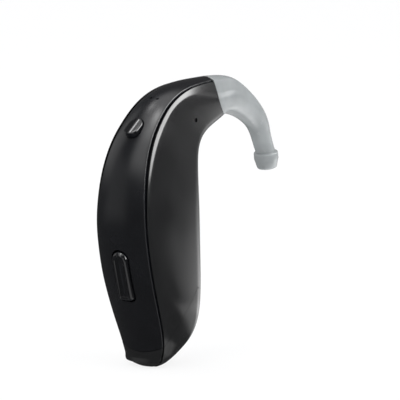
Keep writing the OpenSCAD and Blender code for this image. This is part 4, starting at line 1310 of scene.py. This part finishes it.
@dataclass
class Studio:
    """Floor, backdrop light and the camera at the photograph's angle."""

    azimuth: float = -52
    elevation: float = 10
    distance: float = 1.5
    width: float = 0.0537
    aim: tuple = (0.00085, 0.0, 0.0209)
    lamp_aim: tuple = (0.0, 0.0, 0.02)
    world_level: float = 0.95
    paper_share: float = 0.85
    eye_height: float = 0.02
    room_colour: tuple = (0.95, 0.97, 1, 1)
    paper_colour: tuple = (0.82, 0.82, 0.82, 1)
    paper_roughness: float = 0.9
    floor_half: float = 400.0
    sensor: float = 36
    cards: bpy.types.NodeTree = field(default_factory=card_group)

    def back(self) -> Vector:
        """Direction from the object to the camera."""
        a, e = math.radians(self.azimuth), math.radians(self.elevation)
        return Vector((math.sin(a) * math.cos(e), -math.cos(a) * math.cos(e), math.sin(e)))

    def camera(self) -> None:
        """Makes the camera and sets it as the scene's own."""
        data = bpy.data.cameras.new("camera")
        data.sensor_width = self.sensor
        data.lens = self.sensor * self.distance / self.width
        data.clip_start, data.clip_end = 0.001, 20
        cam = bpy.data.objects.new("camera", data)
        bpy.context.scene.collection.objects.link(cam)
        cam.rotation_mode = "QUATERNION"
        cam.location = Vector(self.aim) + self.back() * self.distance
        cam.rotation_quaternion = (-self.back()).to_track_quat("-Z", "Y")
        bpy.context.scene.camera = cam

    def lamp(self, lamp: Lamp) -> None:
        """Hangs a softbox and points it at the casing."""
        data = bpy.data.lights.new(lamp.name, "AREA")
        data.shape = "RECTANGLE"
        data.size, data.size_y = lamp.size
        data.energy = lamp.power
        obj = bpy.data.objects.new(lamp.name, data)
        bpy.context.scene.collection.objects.link(obj)
        obj.location = lamp.at
        obj.rotation_mode = "QUATERNION"
        obj.rotation_quaternion = (Vector(self.lamp_aim) - Vector(lamp.at)).to_track_quat("-Z", "Y")
        obj.visible_glossy = lamp.in_gloss

    def world(self) -> None:
        """A world that is white to the camera and through clear plastic, and a room with cards in gloss."""
        world = bpy.data.worlds.new("studio")
        bpy.context.scene.world = world
        world.use_nodes = True
        tree = world.node_tree
        tree.nodes.clear()
        path = add_node(tree, "ShaderNodeLightPath")
        way = add_node(tree, "ShaderNodeTexCoord").outputs["Generated"]
        cards = add_node(tree, "ShaderNodeGroup", {"Direction": way}, node_tree=self.cards)
        room = add_node(tree, "ShaderNodeBackground", {
            "Color": self.room_colour, "Strength": self.world_level})
        white = add_node(tree, "ShaderNodeBackground", {"Color": (1, 1, 1, 1), "Strength": 1})
        gloss = add_node(tree, "ShaderNodeBackground", {"Strength": cards.outputs["Level"]})
        seen = math_node(tree, "MAXIMUM", path.outputs["Is Camera Ray"], path.outputs["Is Transmission Ray"])
        lit = blend(tree, first_gloss(tree, path), room, gloss)
        add_node(tree, "ShaderNodeOutputWorld", {"Surface": blend(tree, seen, lit, white)})

    def floor(self) -> None:
        """A pale floor that keeps the object's shadow, white where it is lit, with the cards in gloss."""
        half = self.floor_half
        obj = new_object("floor", [(-half, -half, 0), (half, -half, 0), (half, half, 0), (-half, half, 0)],
                         [(0, 1, 2, 3)])
        material = bpy.data.materials.new("floor_paper")
        material.use_nodes = True
        tree = material.node_tree
        paper = tree.nodes["Principled BSDF"]
        paper.inputs["Base Color"].default_value = self.paper_colour
        paper.inputs["Roughness"].default_value = self.paper_roughness
        path = add_node(tree, "ShaderNodeLightPath")
        spot = add_node(tree, "ShaderNodeTexCoord").outputs["Object"]
        way = add_node(tree, "ShaderNodeVectorMath", {0: spot, 1: (0, 0, self.eye_height)},
                       operation="SUBTRACT")
        cards = add_node(tree, "ShaderNodeGroup", {"Direction": way.outputs["Vector"]}, node_tree=self.cards)
        card = add_node(tree, "ShaderNodeEmission", {"Strength": cards.outputs["Level"]})
        white = add_node(tree, "ShaderNodeEmission", {"Strength": 1})
        share = math_node(tree, "MULTIPLY", path.outputs["Is Camera Ray"], self.paper_share)
        lit = blend(tree, first_gloss(tree, path), paper, card)
        tree.links.new(blend(tree, share, lit, white), tree.nodes["Material Output"].inputs["Surface"])
        obj.data.materials.append(material)

    def build(self) -> None:
        """Sets the whole studio."""
        self.camera()
        self.world()
        self.floor()
        for lamp in LAMPS:
            self.lamp(lamp)
        bpy.context.scene.view_settings.view_transform = "Standard"


def dress_cad(paints: Paints) -> None:
    """Gives every CAD node that still shows its own finish."""
    slots = {row["node"]: row["material_slot"] for row in frame["record"]["subparts"]}
    for node, obj in frame["nodes"].items():
        for holder in obj.material_slots:
            holder.material = paints.get(slots[node])
    log.info("%d CAD nodes dressed", len(frame["nodes"]))


def main() -> None:
    logging.basicConfig(level=logging.INFO, format="%(message)s")
    Studio().build()
    paints = Paints()
    dress_cad(paints)
    lines = Lines()
    sections = Sections(lines)
    door, nose = Door(lines, sections), Nose(lines)
    casing, button, rocker = Casing(lines, sections, door, nose), Button(lines), Rocker(lines)
    finish_piece(casing.shell(Side.RIGHT), paints, "casing", "housing", "right_shell")
    finish_piece(casing.shell(Side.LEFT), paints, "casing", "housing", "left_shell")
    finish_piece(casing.spine(rocker, button), paints, "spine", "housing", "spine_cover")
    finish_piece(EarHook(lines, sections, nose).build(), paints, "hook_plastic", "housing", "ear_hook")
    finish_piece(door.build(), paints, "casing", "door", "battery_door")
    finish_piece(button.build(), paints, "spine", "button", "push_button", skin="controls")
    finish_piece(rocker.build(), paints, "spine", "rocker", "volume_rocker", skin="controls")


if __name__ == "__main__":
    main()
